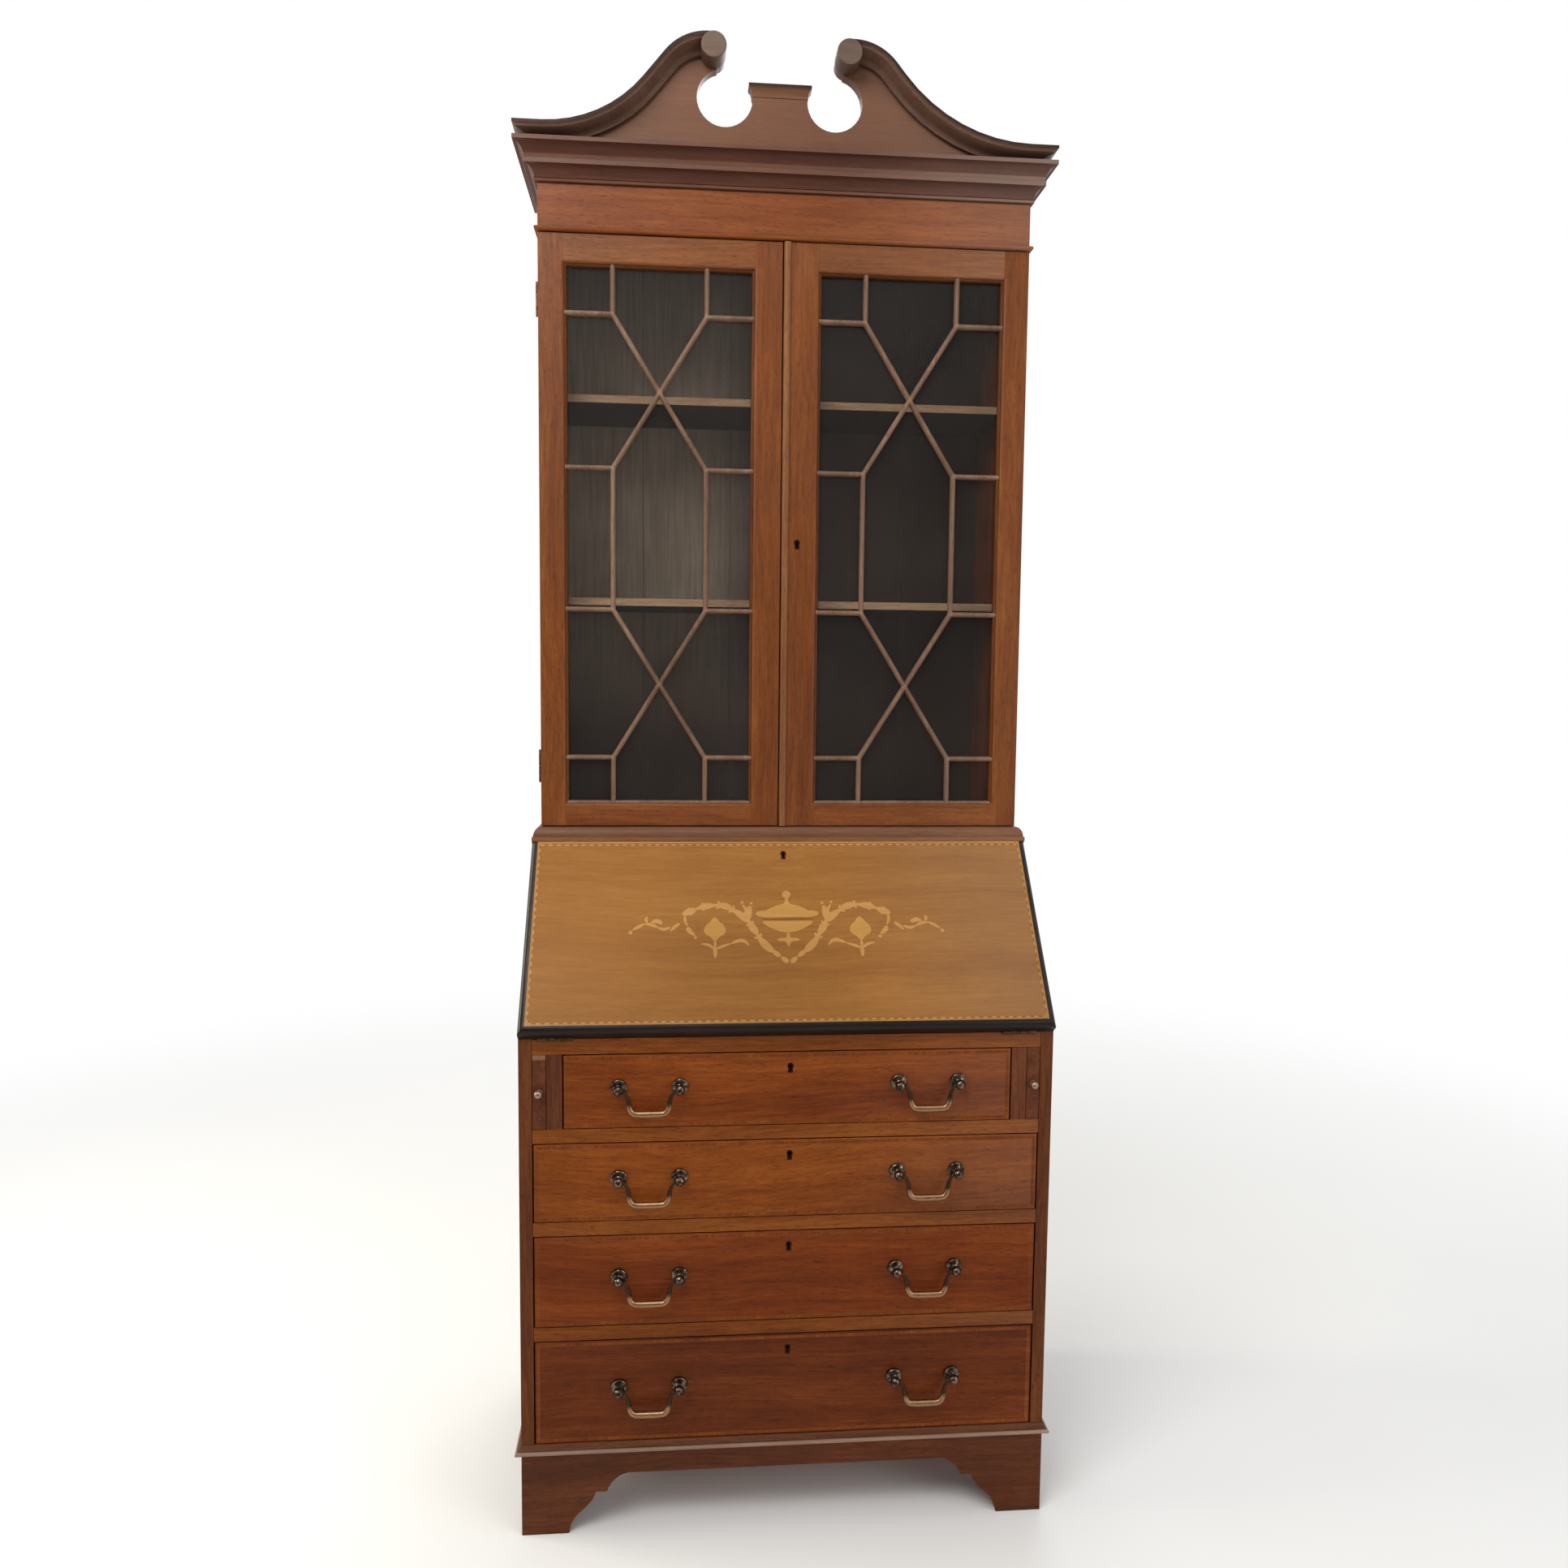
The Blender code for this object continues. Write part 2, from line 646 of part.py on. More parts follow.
def make_nest():
    """The pigeonholes: a low row of wide ones under a high row of narrow ones."""
    edge = INNER - 2 * CLEAR
    foot = BED_Z + CLEAR
    back = INSIDE_DEPTH - CLEAR
    front = back - NEST_DEPTH
    nest = block("pigeonholes", (-edge, front, foot), (edge, back, foot + NEST_HEIGHT), LINING)
    shelf = foot + NEST_WALL + NEST_LOW_ROW
    rows = (
        ("low", NEST_LOW_CELLS, foot + NEST_WALL, shelf),
        ("high", NEST_HIGH_CELLS, shelf + NEST_WALL, foot + NEST_HEIGHT - NEST_WALL),
    )
    for row, count, low, high in rows:
        clear_width = (2 * edge - NEST_WALL * (count + 1)) / count
        for i in range(count):
            x = -edge + NEST_WALL + i * (clear_width + NEST_WALL)
            corner = (x + clear_width, back - NEST_WALL, high)
            cut(nest, block(f"pigeonhole_{row}_{i + 1}", (x, front - OVERLAP, low), corner))


def make_lopers():
    head_centre = (0, KNOB_REACH - KNOB_RADIUS)
    knob = [
        (0, KNOB_REACH),
        *arc(head_centre, KNOB_RADIUS, 65, -50, 6),
        (KNOB_NECK, 2 * KNOB_FOOT_THICK),
        (KNOB_FOOT, KNOB_FOOT_THICK),
        (KNOB_FOOT, CLEAR),
        (0, CLEAR),
    ]
    length = INSIDE_DEPTH - LOPER_BACK_GAP
    foot = BED_UNDER - DRAWER_OPENINGS[0] + CLEAR
    head = BED_UNDER - CLEAR
    for name, side in SIDES.items():
        ends = sorted((side * (INNER - LOPER_GAP), side * (INNER - LOPER_WIDTH + LOPER_GAP)))
        bar = block(f"loper_{name}", (ends[0], 0, foot), (ends[1], length, head), MAHOGANY)
        middle = (side * (INNER - LOPER_WIDTH / 2), FRONT, (foot + head) / 2)
        turn = Matrix.Translation(middle) @ Matrix.Rotation(math.pi / 2, 4, "X")
        grip = turned(f"loper_knob_{name}", knob, turn, BRASS, steps=16)
        carry(pivot(f"loper_slide_{name}", middle), bar, grip)


def post_profile():
    """A handle post: a round head on a neck, with a rosette against the drawer."""
    head = arc((0, POST_REACH), POST_HEAD, 90, -48, 7)
    return [
        (0, head[0][1]),
        *head[1:],
        (POST_NECK, POST_FOOT + POST_FLARE),
        (POST_NECK + 2 * POST_FLARE, POST_FOOT),
        (ROSETTE_RADIUS, ROSETTE_THICK),
        (ROSETTE_RADIUS, -OVERLAP),
        (0, -OVERLAP),
    ]


def bail_points():
    """Half of a bail as (X, height, thickness): pin, neck, arm and grip."""
    pin = [(POST_SPACING / 2 + PIN_PAST, 0, 1.0)]
    neck_centre = (BAIL_HALF + BAIL_NECK, -BAIL_NECK)
    neck = [(x, z, 1.0) for x, z in arc(neck_centre, BAIL_NECK, 90, 180, 3)]
    low_centre = (BAIL_HALF - BAIL_CORNER, BAIL_CORNER - BAIL_DROP)
    corner = arc(low_centre, BAIL_CORNER, 0, -90, 4)
    swell = [1.0 + (GRIP_SWELL - 1.0) * i / len(corner) for i in range(len(corner))]
    grip = [(x, z, s) for (x, z), s in zip(corner, swell)]
    return pin + neck + grip


def make_bail(name, location):
    half = bail_points()
    points = half + [(0, -BAIL_DROP, GRIP_SWELL)] + [(-x, z, s) for x, z, s in reversed(half)]
    curve = bpy.data.curves.new(name, "CURVE")
    curve.dimensions = "3D"
    curve.bevel_depth = BAIL_RADIUS
    curve.bevel_resolution = 2
    curve.use_fill_caps = True
    spline = curve.splines.new("POLY")
    spline.points.add(len(points) - 1)
    for point, (x, z, thickness) in zip(spline.points, points):
        point.co = (x, 0, z, 1)
        point.radius = thickness
    bail = bpy.data.objects.new(name, curve)
    bail.location = location
    return place(bail, BRASS)


def make_drawers():
    profile = post_profile()
    head = BED_UNDER
    for number, opening in enumerate(DRAWER_OPENINGS, start=1):
        half = INNER
        if number == 1:
            half = INNER - LOPER_WIDTH - GUIDE_THICK
        make_drawer(number, half, head, opening, profile)
        head -= opening + RAIL_THICK


def make_drawer(number, half, head, opening, profile):
    name = f"drawer_{number}"
    edge = half - DRAWER_GAP
    low = head - opening + CLEAR
    high = head - DRAWER_GAP
    shape = board((-edge, 0, low), (edge, FRONT_THICK, high))
    rim = [e for e in shape.edges if all(v.co.y < FRONT_THICK / 2 for v in e.verts)]
    place_front = Matrix.Translation((0, FRONT, 0))
    front = piece(f"{name}_front", rounded(shape, rim, FRONT_ROUND, 2), MAHOGANY, place_front)
    start = FRONT_THICK + CLEAR
    end = INSIDE_DEPTH - BOX_BACK_GAP
    top = high - BOX_DROP
    box = block(f"{name}_box", (-edge, start, low), (edge, end, top), LINING)
    inside = block(
        f"{name}_inside",
        (-edge + LINING_THICK, start - OVERLAP, low + DRAWER_BOTTOM),
        (edge - LINING_THICK, end - LINING_THICK, top + OVERLAP),
    )
    cut(box, inside)
    middle = (low + high) / 2
    slide = pivot(f"{name}_slide", (0, FRONT, middle))
    carry(slide, front, box)
    height = head - opening / 2 + HANDLE_LIFT
    bores = []
    for hand, side in SIDES.items():
        centre = side * HANDLE_X
        for end_name, end_side in SIDES.items():
            x = centre + end_side * POST_SPACING / 2
            turn = Matrix.Translation((x, FRONT, height)) @ Matrix.Rotation(math.pi / 2, 4, "X")
            post = turned(f"{name}_{hand}_post_{end_name}", profile, turn)
            join(front, tinted(post, BRASS))
            blind_end = x + end_side * (PIN_PAST + CLEAR)
            open_end = x - end_side * (POST_HEAD + OVERLAP)
            bores.append(
                rod(
                    f"{name}_{hand}_bore_{end_name}",
                    BAIL_RADIUS + CLEAR,
                    (open_end, -POST_REACH, height),
                    (blind_end, -POST_REACH, height),
                    sides=12,
                )
            )
        bail = make_bail(f"{name}_bail_{hand}", (centre, FRONT - POST_REACH, height))
        carry(slide, bail)
    cut(front, *bores, keyhole(f"{name}_keyhole", 0, 0, head - KEY_DOWN))


def make_case():
    """The carcase of the bookcase, with its shelves housed in the sides."""
    back = DEPTH - BACK_THICK
    block(
        "bookcase_bottom",
        (-CASE_HALF, CASE_FRONT, TOP_Z + CLEAR),
        (CASE_HALF, DEPTH, CASE_FLOOR),
        DOOR_WOOD,
    )
    block(
        "bookcase_back",
        (-CASE_HALF, back, CASE_FLOOR + CLEAR),
        (CASE_HALF, DEPTH, CORNICE_TOP),
        MAHOGANY,
    )
    moulding(
        "waist_moulding",
        lipped_round(WAIST_OUT, WAIST_HEIGHT, WAIST_LIP, WAIST_QUIRK),
        round_three_sides(CASE_HALF, CASE_FRONT, TOP_Z + CLEAR),
        CORNICE_WOOD,
    )
    cases = {}
    for name, side in SIDES.items():
        ends = sorted((side * CASE_HALF, side * CASE_INNER))
        low = (ends[0], CASE_BACK, CASE_FLOOR + CLEAR)
        high = (ends[1], back - CLEAR, CORNICE_TOP)
        cases[name] = block(f"bookcase_side_{name}", low, high, DOOR_WOOD)
    low = (-CASE_INNER + CLEAR, CASE_BACK, FRIEZE_TOP - CASE_TOP)
    block("bookcase_top", low, (CASE_INNER - CLEAR, back - CLEAR, FRIEZE_TOP), DOOR_WOOD)
    for name, level in SHELF_LEVELS.items():
        make_shelf(name, TOP_Z + level, cases)
    return cases


def make_shelf(name, top, cases):
    reach = CASE_INNER + SHELF_GROOVE
    front = CASE_FRONT + SHELF_SETBACK
    back = INSIDE_DEPTH - CLEAR
    low = (-reach, front, top - SHELF_THICK)
    block(f"shelf_{name}", low, (reach, back, top), DOOR_WOOD)
    for hand, side in SIDES.items():
        ends = sorted((side * (CASE_INNER - OVERLAP), side * (reach + CLEAR)))
        groove_low = (ends[0], front - CLEAR, top - SHELF_THICK - CLEAR)
        groove_high = (ends[1], back + OVERLAP, top + CLEAR)
        cut(cases[hand], block(f"shelf_groove_{name}_{hand}", groove_low, groove_high))


def cornice_section():
    """From the bead at the foot, through a hollow, an upright face and a second hollow, to the lip."""
    radius = CORNICE_BEAD / 2
    bead = arc((CORNICE_BEAD_OUT - radius, radius), radius, -90, 90, 4)
    cove_in = CORNICE_BEAD_OUT - CORNICE_STEP
    cove_out = cove_in + CORNICE_COVE_OUT
    face_foot = CORNICE_BEAD + CORNICE_COVE
    face_out = cove_out + CORNICE_STEP
    upper_foot = face_foot + CORNICE_FACE
    lip_foot = CORNICE_HEIGHT - CORNICE_LIP
    return [
        (CLEAR, 0),
        *bead,
        *scooped((cove_in, CORNICE_BEAD), (cove_out, face_foot)),
        (face_out, face_foot),
        (face_out, upper_foot),
        *scooped((cove_out, upper_foot), (CORNICE_OUT - CORNICE_STEP, lip_foot)),
        (CORNICE_OUT, lip_foot),
        (CORNICE_OUT, CORNICE_HEIGHT),
        (CLEAR, CORNICE_HEIGHT),
    ]


def scooped(start, end, steps=5):
    """A quarter hollow that leaves its start upright and reaches its end level."""
    out = end[0] - start[0]
    rise = end[1] - start[1]
    return [(start[0] + out * (1 - math.cos(t)), start[1] + rise * math.sin(t)) for t in quarter(steps)]


def make_frieze():
    frieze = block(
        "frieze",
        (-CASE_HALF, CASE_FRONT, FRIEZE_FOOT),
        (CASE_HALF, CASE_BACK - CLEAR, FRIEZE_TOP),
        DOOR_WOOD,
    )
    radius = BEAD_HEIGHT / 2
    nose = arc((BEAD_OUT - radius, radius), radius, -90, 90, 6)
    section = [(CLEAR, 0), *nose, (CLEAR, BEAD_HEIGHT)]
    bead = moulding("frieze_bead", section, round_three_sides(CASE_HALF, CASE_FRONT, FRIEZE_FOOT))
    inset = BEAD_HEIGHT / 4
    tongue = block(
        "frieze_bead_tongue",
        (-CASE_HALF + inset, CASE_FRONT - BEAD_OUT / 2, FRIEZE_FOOT + inset),
        (CASE_HALF - inset, CASE_FRONT + OVERLAP, FRIEZE_FOOT + BEAD_HEIGHT - inset),
    )
    join(frieze, tongue, bead)
    moulding(
        "cornice",
        cornice_section(),
        round_three_sides(CASE_HALF, CASE_FRONT, FRIEZE_TOP),
        CORNICE_WOOD,
    )


def swan_path(side):
    """The upper edge of a swan neck as (distance from the centre line, height, slope), from the corner in."""
    level_end = CASE_HALF - SWAN_LEVEL
    peak = SWAN_PEAK_X + side * PEDIMENT_OFF
    across = (level_end - peak) * math.sin(SWAN_SLOPE) - SWAN_RISE * math.cos(SWAN_SLOPE)
    low_radius = across / (1 - math.cos(SWAN_SLOPE)) - SWAN_HIGH_RADIUS
    last = math.asin((SCROLL_X - SWAN_PEAK_X) / SWAN_HIGH_RADIUS)
    path = []
    for i in range(9):
        t = SWAN_SLOPE * i / 8
        height = SWAN_FOOT + low_radius * (1 - math.cos(t))
        path.append((level_end - low_radius * math.sin(t), height, t))
    for i in range(11):
        t = SWAN_SLOPE + (last - SWAN_SLOPE) * i / 10
        height = SWAN_PEAK - SWAN_HIGH_RADIUS * (1 - math.cos(t))
        path.append((peak + SWAN_HIGH_RADIUS * math.sin(t), height, t))
    return path


def swan_section():
    """Measured out from the board and down from the upper edge."""
    head = (CORNICE_OUT - SWAN_QUIRK, -SWAN_LIP - SWAN_QUIRK_DROP)
    foot = (SWAN_FOOT_OUT, SWAN_FOOT_LIP - SWAN_BAND)
    ogee = smooth(head, (-0.1, 0.55), (1.1, 0.45), foot)
    lip = [(CLEAR, 0), (CORNICE_OUT, 0), (CORNICE_OUT, -SWAN_LIP)]
    return [*lip, *ogee, (SWAN_FOOT_OUT, -SWAN_BAND), (CLEAR, -SWAN_BAND)]


def make_swans():
    up = (0, 0, 1)
    for name, side in SIDES.items():
        stations = [
            ((side * CASE_HALF, DEPTH, SWAN_FOOT), (side, 0, 0), up),
            ((side * CASE_HALF, CASE_FRONT, SWAN_FOOT), (side, -1, 0), up),
        ]
        for u, z, slope in swan_path(side):
            normal = (side * math.sin(slope), 0, math.cos(slope))
            stations.append(((side * u, CASE_FRONT, z), (0, -1, 0), normal))
        swan = moulding(f"swan_neck_{name}", swan_section(), stations, CORNICE_WOOD)
        centre = Matrix.Translation((PEDIMENT_OFF + side * SCROLL_X, FRONT + CASE_FRONT, SCROLL_Z))
        turn = centre @ Matrix.Rotation(math.pi / 2, 4, "X")
        join(swan, turned(f"scroll_{name}", scroll_profile(), turn, steps=32))


def scroll_profile():
    """The round boss at the end of a swan neck, with a rounded front edge."""
    corner = (SCROLL_RADIUS - SCROLL_ROUND, SCROLL_OUT - SCROLL_ROUND)
    return [(0, SCROLL_OUT), *arc(corner, SCROLL_ROUND, 90, 0, 3), (SCROLL_RADIUS, CLEAR), (0, CLEAR)]


def pediment_edge(side, head):
    """One side of the pediment board, from its foot over the scroll and round the cut-out to the cap."""
    edge = [(side * CASE_HALF, FRIEZE_TOP + CLEAR), (side * CASE_HALF, SWAN_FOOT - EDGE_BACK)]
    for u, z, slope in swan_path(side):
        edge.append((side * (u - EDGE_BACK * math.sin(slope)), z - EDGE_BACK * math.cos(slope)))
    toward = math.degrees(math.atan2(SCROLL_Z - ROUND_Z, SCROLL_X - ROUND_X))
    scroll = arc((SCROLL_X, SCROLL_Z), SCROLL_EDGE, 95, 180 + toward, 10)
    opening = arc((ROUND_X, ROUND_Z), ROUND_RADIUS, toward, -180, 24)
    neck = (ROUND_X - ROUND_RADIUS, head)
    return edge + [(PEDIMENT_OFF + side * x, z) for x, z in [*scroll, *opening, neck]]


def make_pediment():
    """The shaped board, round the scrolls and the two round cut-outs, with a capped plinth between."""
    top = ROUND_Z + CAP_RISE
    head = top - CAP_LIP
    loop = pediment_edge(1, head) + pediment_edge(-1, head)[::-1]
    rear = CASE_FRONT + PEDIMENT_THICK
    middle = (CASE_FRONT + rear) / 2
    shaped = outline("pediment_board", [loop], PEDIMENT_THICK, facing(middle), CORNICE_WOOD)
    hollow_under = scooped((MOULDING_CREST, top - CAP_HEIGHT), (CAP_OUT, head))
    section = [(-OVERLAP, top - CAP_HEIGHT), *hollow_under, (CAP_OUT, top), (-OVERLAP, top)]
    left, right = (PEDIMENT_OFF + side * (ROUND_X - ROUND_RADIUS) for side in (-1, 1))
    up = (0, 0, 1)
    stations = [
        ((left, rear, 0), (-1, 0, 0), up),
        ((left, CASE_FRONT, 0), (-1, -1, 0), up),
        ((right, CASE_FRONT, 0), (1, -1, 0), up),
        ((right, rear, 0), (1, 0, 0), up),
    ]
    core = block("pediment_cap_core", (left, CASE_FRONT, head - OVERLAP), (right, rear, top))
    join(shaped, core, moulding("pediment_cap", section, stations))


def pane_loops(low, high):
    """The thirteen openings of a door's lattice, each drawn in by half a bar or by the border."""
    centre = ((low[0] + high[0]) / 2, (low[1] + high[1]) / 2)
    left, right = low[0] + PANE_SIDE, high[0] - PANE_SIDE
    rows = [low[1] + PANE_END, centre[1] - PANE_MIDDLE, centre[1] + PANE_MIDDLE, high[1] - PANE_END]
    half = BAR_WIDTH / 2
    panes = []

    def pane(corners, borders):
        panes.append(inset(corners, [BAR_BORDER if i in borders else half for i in range(len(corners))]))

    levels = [low[1], *rows, high[1]]
    crossings = {1: (rows[0] + rows[1]) / 2, 3: (rows[2] + rows[3]) / 2}
    for i in (0, 2, 4):
        foot, head = levels[i], levels[i + 1]
        ends = {0} if i == 0 else {2} if i == 4 else set()
        pane([(low[0], foot), (left, foot), (left, head), (low[0], head)], ends | {3})
        pane([(right, foot), (high[0], foot), (high[0], head), (right, head)], ends | {1})
        middle = [(left, foot)]
        if i:
            middle.append((centre[0], crossings[i - 1]))
        middle += [(right, foot), (right, head)]
        if i < 4:
            middle.append((centre[0], crossings[i + 1]))
        middle.append((left, head))
        pane(middle, {0} if i == 0 else {3} if i == 4 else set())
    for i, crossing in crossings.items():
        foot, head = levels[i], levels[i + 1]
        pane([(low[0], foot), (left, foot), (centre[0], crossing), (left, head), (low[0], head)], {4})
        pane([(right, foot), (high[0], foot), (high[0], head), (right, head), (centre[0], crossing)], {1})
    return panes


def inset(corners, distances):
    """Draws each edge of an anticlockwise loop in by its own distance; an edge starts at its corner."""
    count = len(corners)
    lines = []
    for i in range(count):
        start = Vector(corners[i])
        along = (Vector(corners[(i + 1) % count]) - start).normalized()
        lines.append((start + Vector((-along.y, along.x)) * distances[i], along))
    loop = []
    for i in range(count):
        (p, d), (q, e) = lines[i - 1], lines[i]
        share = (q - p).cross(e) / d.cross(e)
        loop.append(tuple(p + d * share))
    return loop


def rectangle(low, high):
    return [low, (high[0], low[1]), high, (low[0], high[1])]


def make_doors(cases):
    seam = -MEETING_BEAD / 2
    edges = {
        "left": (-CASE_HALF, seam - DOOR_GAP / 2),
        "right": (seam + DOOR_GAP / 2, CASE_HALF),
    }
    for name, side in SIDES.items():
        make_door(name, side, edges[name], cases[name])


def make_door(name, side, edges, case):
    glazed = sorted((side * (CASE_HALF - OUTER_STILE), side * CENTRE_STILE))
    low = (glazed[0], DOOR_FOOT + LOW_RAIL)
    high = (glazed[1], DOOR_HEAD - TOP_RAIL)
    outer = rectangle((edges[0], DOOR_FOOT), (edges[1], DOOR_HEAD))
    middle = CASE_FRONT + DOOR_THICK / 2
    loops = [outer, rectangle(low, high)]
    frame = outline(f"door_{name}_frame", loops, DOOR_THICK, facing(middle), DOOR_WOOD)
    seat = CASE_FRONT + DOOR_THICK - REBATE_DEPTH
    rebate = block(
        f"door_{name}_rebate",
        (low[0] - REBATE, seat, low[1] - REBATE),
        (high[0] + REBATE, seat + REBATE_DEPTH + OVERLAP, high[1] + REBATE),
    )
    cut(frame, rebate)
    hold = REBATE - CLEAR
    glass = block(
        f"door_{name}_glass",
        (low[0] - hold, seat + CLEAR, low[1] - hold),
        (high[0] + hold, seat + CLEAR + GLASS_THICK, high[1] + hold),
        GLASS,
    )
    bars_edge = rectangle((low[0] + CLEAR, low[1] + CLEAR), (high[0] - CLEAR, high[1] - CLEAR))
    lattice = outline(
        f"door_{name}_lattice",
        [bars_edge, *pane_loops(low, high)],
        BAR_DEPTH,
        facing(seat - CLEAR - BAR_DEPTH / 2),
        DOOR_WOOD,
    )
    if name == "right":
        add_meeting_bead(frame, edges[0])
        cut(frame, keyhole("door_keyhole", DOOR_KEY_X, CASE_FRONT, DOOR_FOOT + DOOR_KEY_LIFT))
    levels = {"lower": DOOR_FOOT + DOOR_HINGE_INSET, "upper": DOOR_HEAD - DOOR_HINGE_INSET}
    for level, height in levels.items():
        make_door_hinge(f"{name}_{level}", side, height, frame, case)
    axis = pivot(f"door_{name}_axis", (side * DOOR_HINGE_X, FRONT + DOOR_HINGE_DEPTH, DOOR_FOOT))
    carry(axis, frame, lattice, glass)


def add_meeting_bead(frame, edge):
    """The half-round bead on the right door's meeting stile."""
    width = MEETING_BEAD - DOOR_GAP / 2
    nose = [(width / 2 * math.cos(t), MEETING_BEAD_OUT * math.sin(t)) for t in quarter(4)]
    section = [(edge + width / 2 + u, -v) for u, v in nose]
    section += [(edge + width / 2 - u, -v) for u, v in reversed(nose[:-1])]
    section += [(edge, OVERLAP), (edge + width, OVERLAP)]
    middle = Matrix.Translation((0, FRONT + CASE_FRONT, DOOR_FOOT + DOOR_HEIGHT / 2))
    join(frame, outline("door_meeting_bead", [section], DOOR_HEIGHT, middle))


def make_door_hinge(name, side, height, frame, case):
    """A lift-off hinge: the lower knuckle, pin and leaf on the case, the upper knuckle on the door."""
    half = HINGE_LENGTH / 2
    x = side * DOOR_HINGE_X
    depth = DOOR_HINGE_DEPTH
    inner = side * (CASE_INNER + LEAF_MARGIN)
    outer = side * (CASE_HALF - CLEAR)
    ends = sorted((inner, outer))
    leaf_low = (ends[0], CASE_BACK, height - half)
    hinge = block(f"door_hinge_{name}", leaf_low, (ends[1], CASE_BACK + LEAF_THICK, height + half), BRASS)
    seat_ends = sorted((inner - side * CLEAR, side * (CASE_HALF + OVERLAP)))
    seat = block(
        f"door_leaf_seat_{name}",
        (seat_ends[0], CASE_BACK - OVERLAP, height - half - CLEAR),
        (seat_ends[1], CASE_BACK + LEAF_THICK + CLEAR, height + half + CLEAR),
    )
    cut(case, seat)
    web_ends = sorted((x, side * (CASE_HALF - OVERLAP)))
    web_low = (web_ends[0], CASE_BACK, height - half)
    web_high = (web_ends[1], CASE_BACK + LEAF_THICK, height - CLEAR)
    web = block(f"door_hinge_web_{name}", web_low, web_high)
    foot = (x, depth, height - half)
    knuckle = rod(f"door_hinge_knuckle_{name}", DOOR_KNUCKLE, foot, (x, depth, height - CLEAR))
    pin_end = (x, depth, height + half - CLEAR)
    pin = rod(f"door_hinge_pin_{name}", HINGE_PIN, (x, depth, height - half / 2), pin_end, sides=12)
    join(hinge, web, knuckle, pin)
    door_back = CASE_FRONT + DOOR_THICK
    plate_ends = sorted((x, inner))
    plate = block(
        f"door_leaf_{name}",
        (plate_ends[0], door_back - LEAF_THICK, height + CLEAR),
        (plate_ends[1], door_back, height + half),
    )
    head = (x, depth, height + half)
    upper = rod(f"door_knuckle_{name}", DOOR_KNUCKLE, (x, depth, height + CLEAR), head)
    bore_end = (x, depth, height + half + OVERLAP)
    bore = rod(f"door_bore_{name}", HINGE_PIN + CLEAR, (x, depth, height), bore_end, sides=12)
    join(frame, tinted(plate, BRASS), tinted(upper, BRASS))
    cut(frame, bore)


make_plinth()
make_carcase()
make_writing_bed()
make_fall()
make_nest()
make_lopers()
make_drawers()
make_doors(make_case())
make_frieze()
make_swans()
make_pediment()
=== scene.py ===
"""Looks of a bureau bookcase: its woods, inlay, brasses and glass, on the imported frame."""

import json
import math

import bmesh
import bpy
from mathutils import Matrix, Vector

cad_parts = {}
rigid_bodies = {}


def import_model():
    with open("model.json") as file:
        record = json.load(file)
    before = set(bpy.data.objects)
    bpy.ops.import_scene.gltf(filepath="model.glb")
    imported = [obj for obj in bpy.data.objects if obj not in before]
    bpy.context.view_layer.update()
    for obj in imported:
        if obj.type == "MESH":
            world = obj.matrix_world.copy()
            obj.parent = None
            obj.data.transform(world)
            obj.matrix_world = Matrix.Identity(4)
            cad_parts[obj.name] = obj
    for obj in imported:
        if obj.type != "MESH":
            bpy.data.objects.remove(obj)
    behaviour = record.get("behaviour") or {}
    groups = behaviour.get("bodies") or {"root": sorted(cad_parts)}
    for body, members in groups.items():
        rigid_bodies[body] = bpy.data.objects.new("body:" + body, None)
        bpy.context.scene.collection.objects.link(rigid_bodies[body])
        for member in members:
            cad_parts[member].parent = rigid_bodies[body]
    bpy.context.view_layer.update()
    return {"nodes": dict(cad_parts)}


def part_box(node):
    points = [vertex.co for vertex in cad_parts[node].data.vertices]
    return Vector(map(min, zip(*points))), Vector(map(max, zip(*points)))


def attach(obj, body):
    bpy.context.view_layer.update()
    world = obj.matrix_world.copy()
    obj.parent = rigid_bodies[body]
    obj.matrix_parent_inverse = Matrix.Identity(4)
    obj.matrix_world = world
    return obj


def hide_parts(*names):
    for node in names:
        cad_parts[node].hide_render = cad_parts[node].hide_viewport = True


for leftover in list(bpy.data.objects):
    bpy.data.objects.remove(leftover)
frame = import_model()

SIDES = {"left": -1, "right": 1}
DRAWERS = (1, 2, 3, 4)
MM = 0.001
WHITE = (1, 1, 1, 1)
WELD = 0.00001
SHORT_EDGE = 0.004
TUBE_SIDES = 18
ORDER = Vector((1.0, 31.7, 977.3))

# Places that the frame gives.
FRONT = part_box("bureau_side_left")[0].y
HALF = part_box("bureau_side_right")[1].x
BED_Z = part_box("writing_bed")[1].z
DOOR_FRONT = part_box("door_left_frame")[0].y
CASE_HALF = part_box("bookcase_side_right")[1].x

# Fall, in its own frame: X across, Y up the slope and Z out of its face.
FALL_SLOPE = math.radians(52.0)
FALL_LENGTH = 0.305
FALL_THICK = 0.0225
FALL_ROUND = 0.010
FALL_END = 0.0005
FALL_CLEAR = 0.0003
FALL_FRAME = Matrix.Translation((0, FRONT, BED_Z)) @ Matrix.Rotation(FALL_SLOPE, 4, "X")
FALL_MARGIN = 0.0045
FALL_HINGE_X = 0.330
HINGE_LENGTH = 0.050
HINGE_SCREWS = (-0.017, 0, 0.017)
KNUCKLE_RADIUS = 0.003

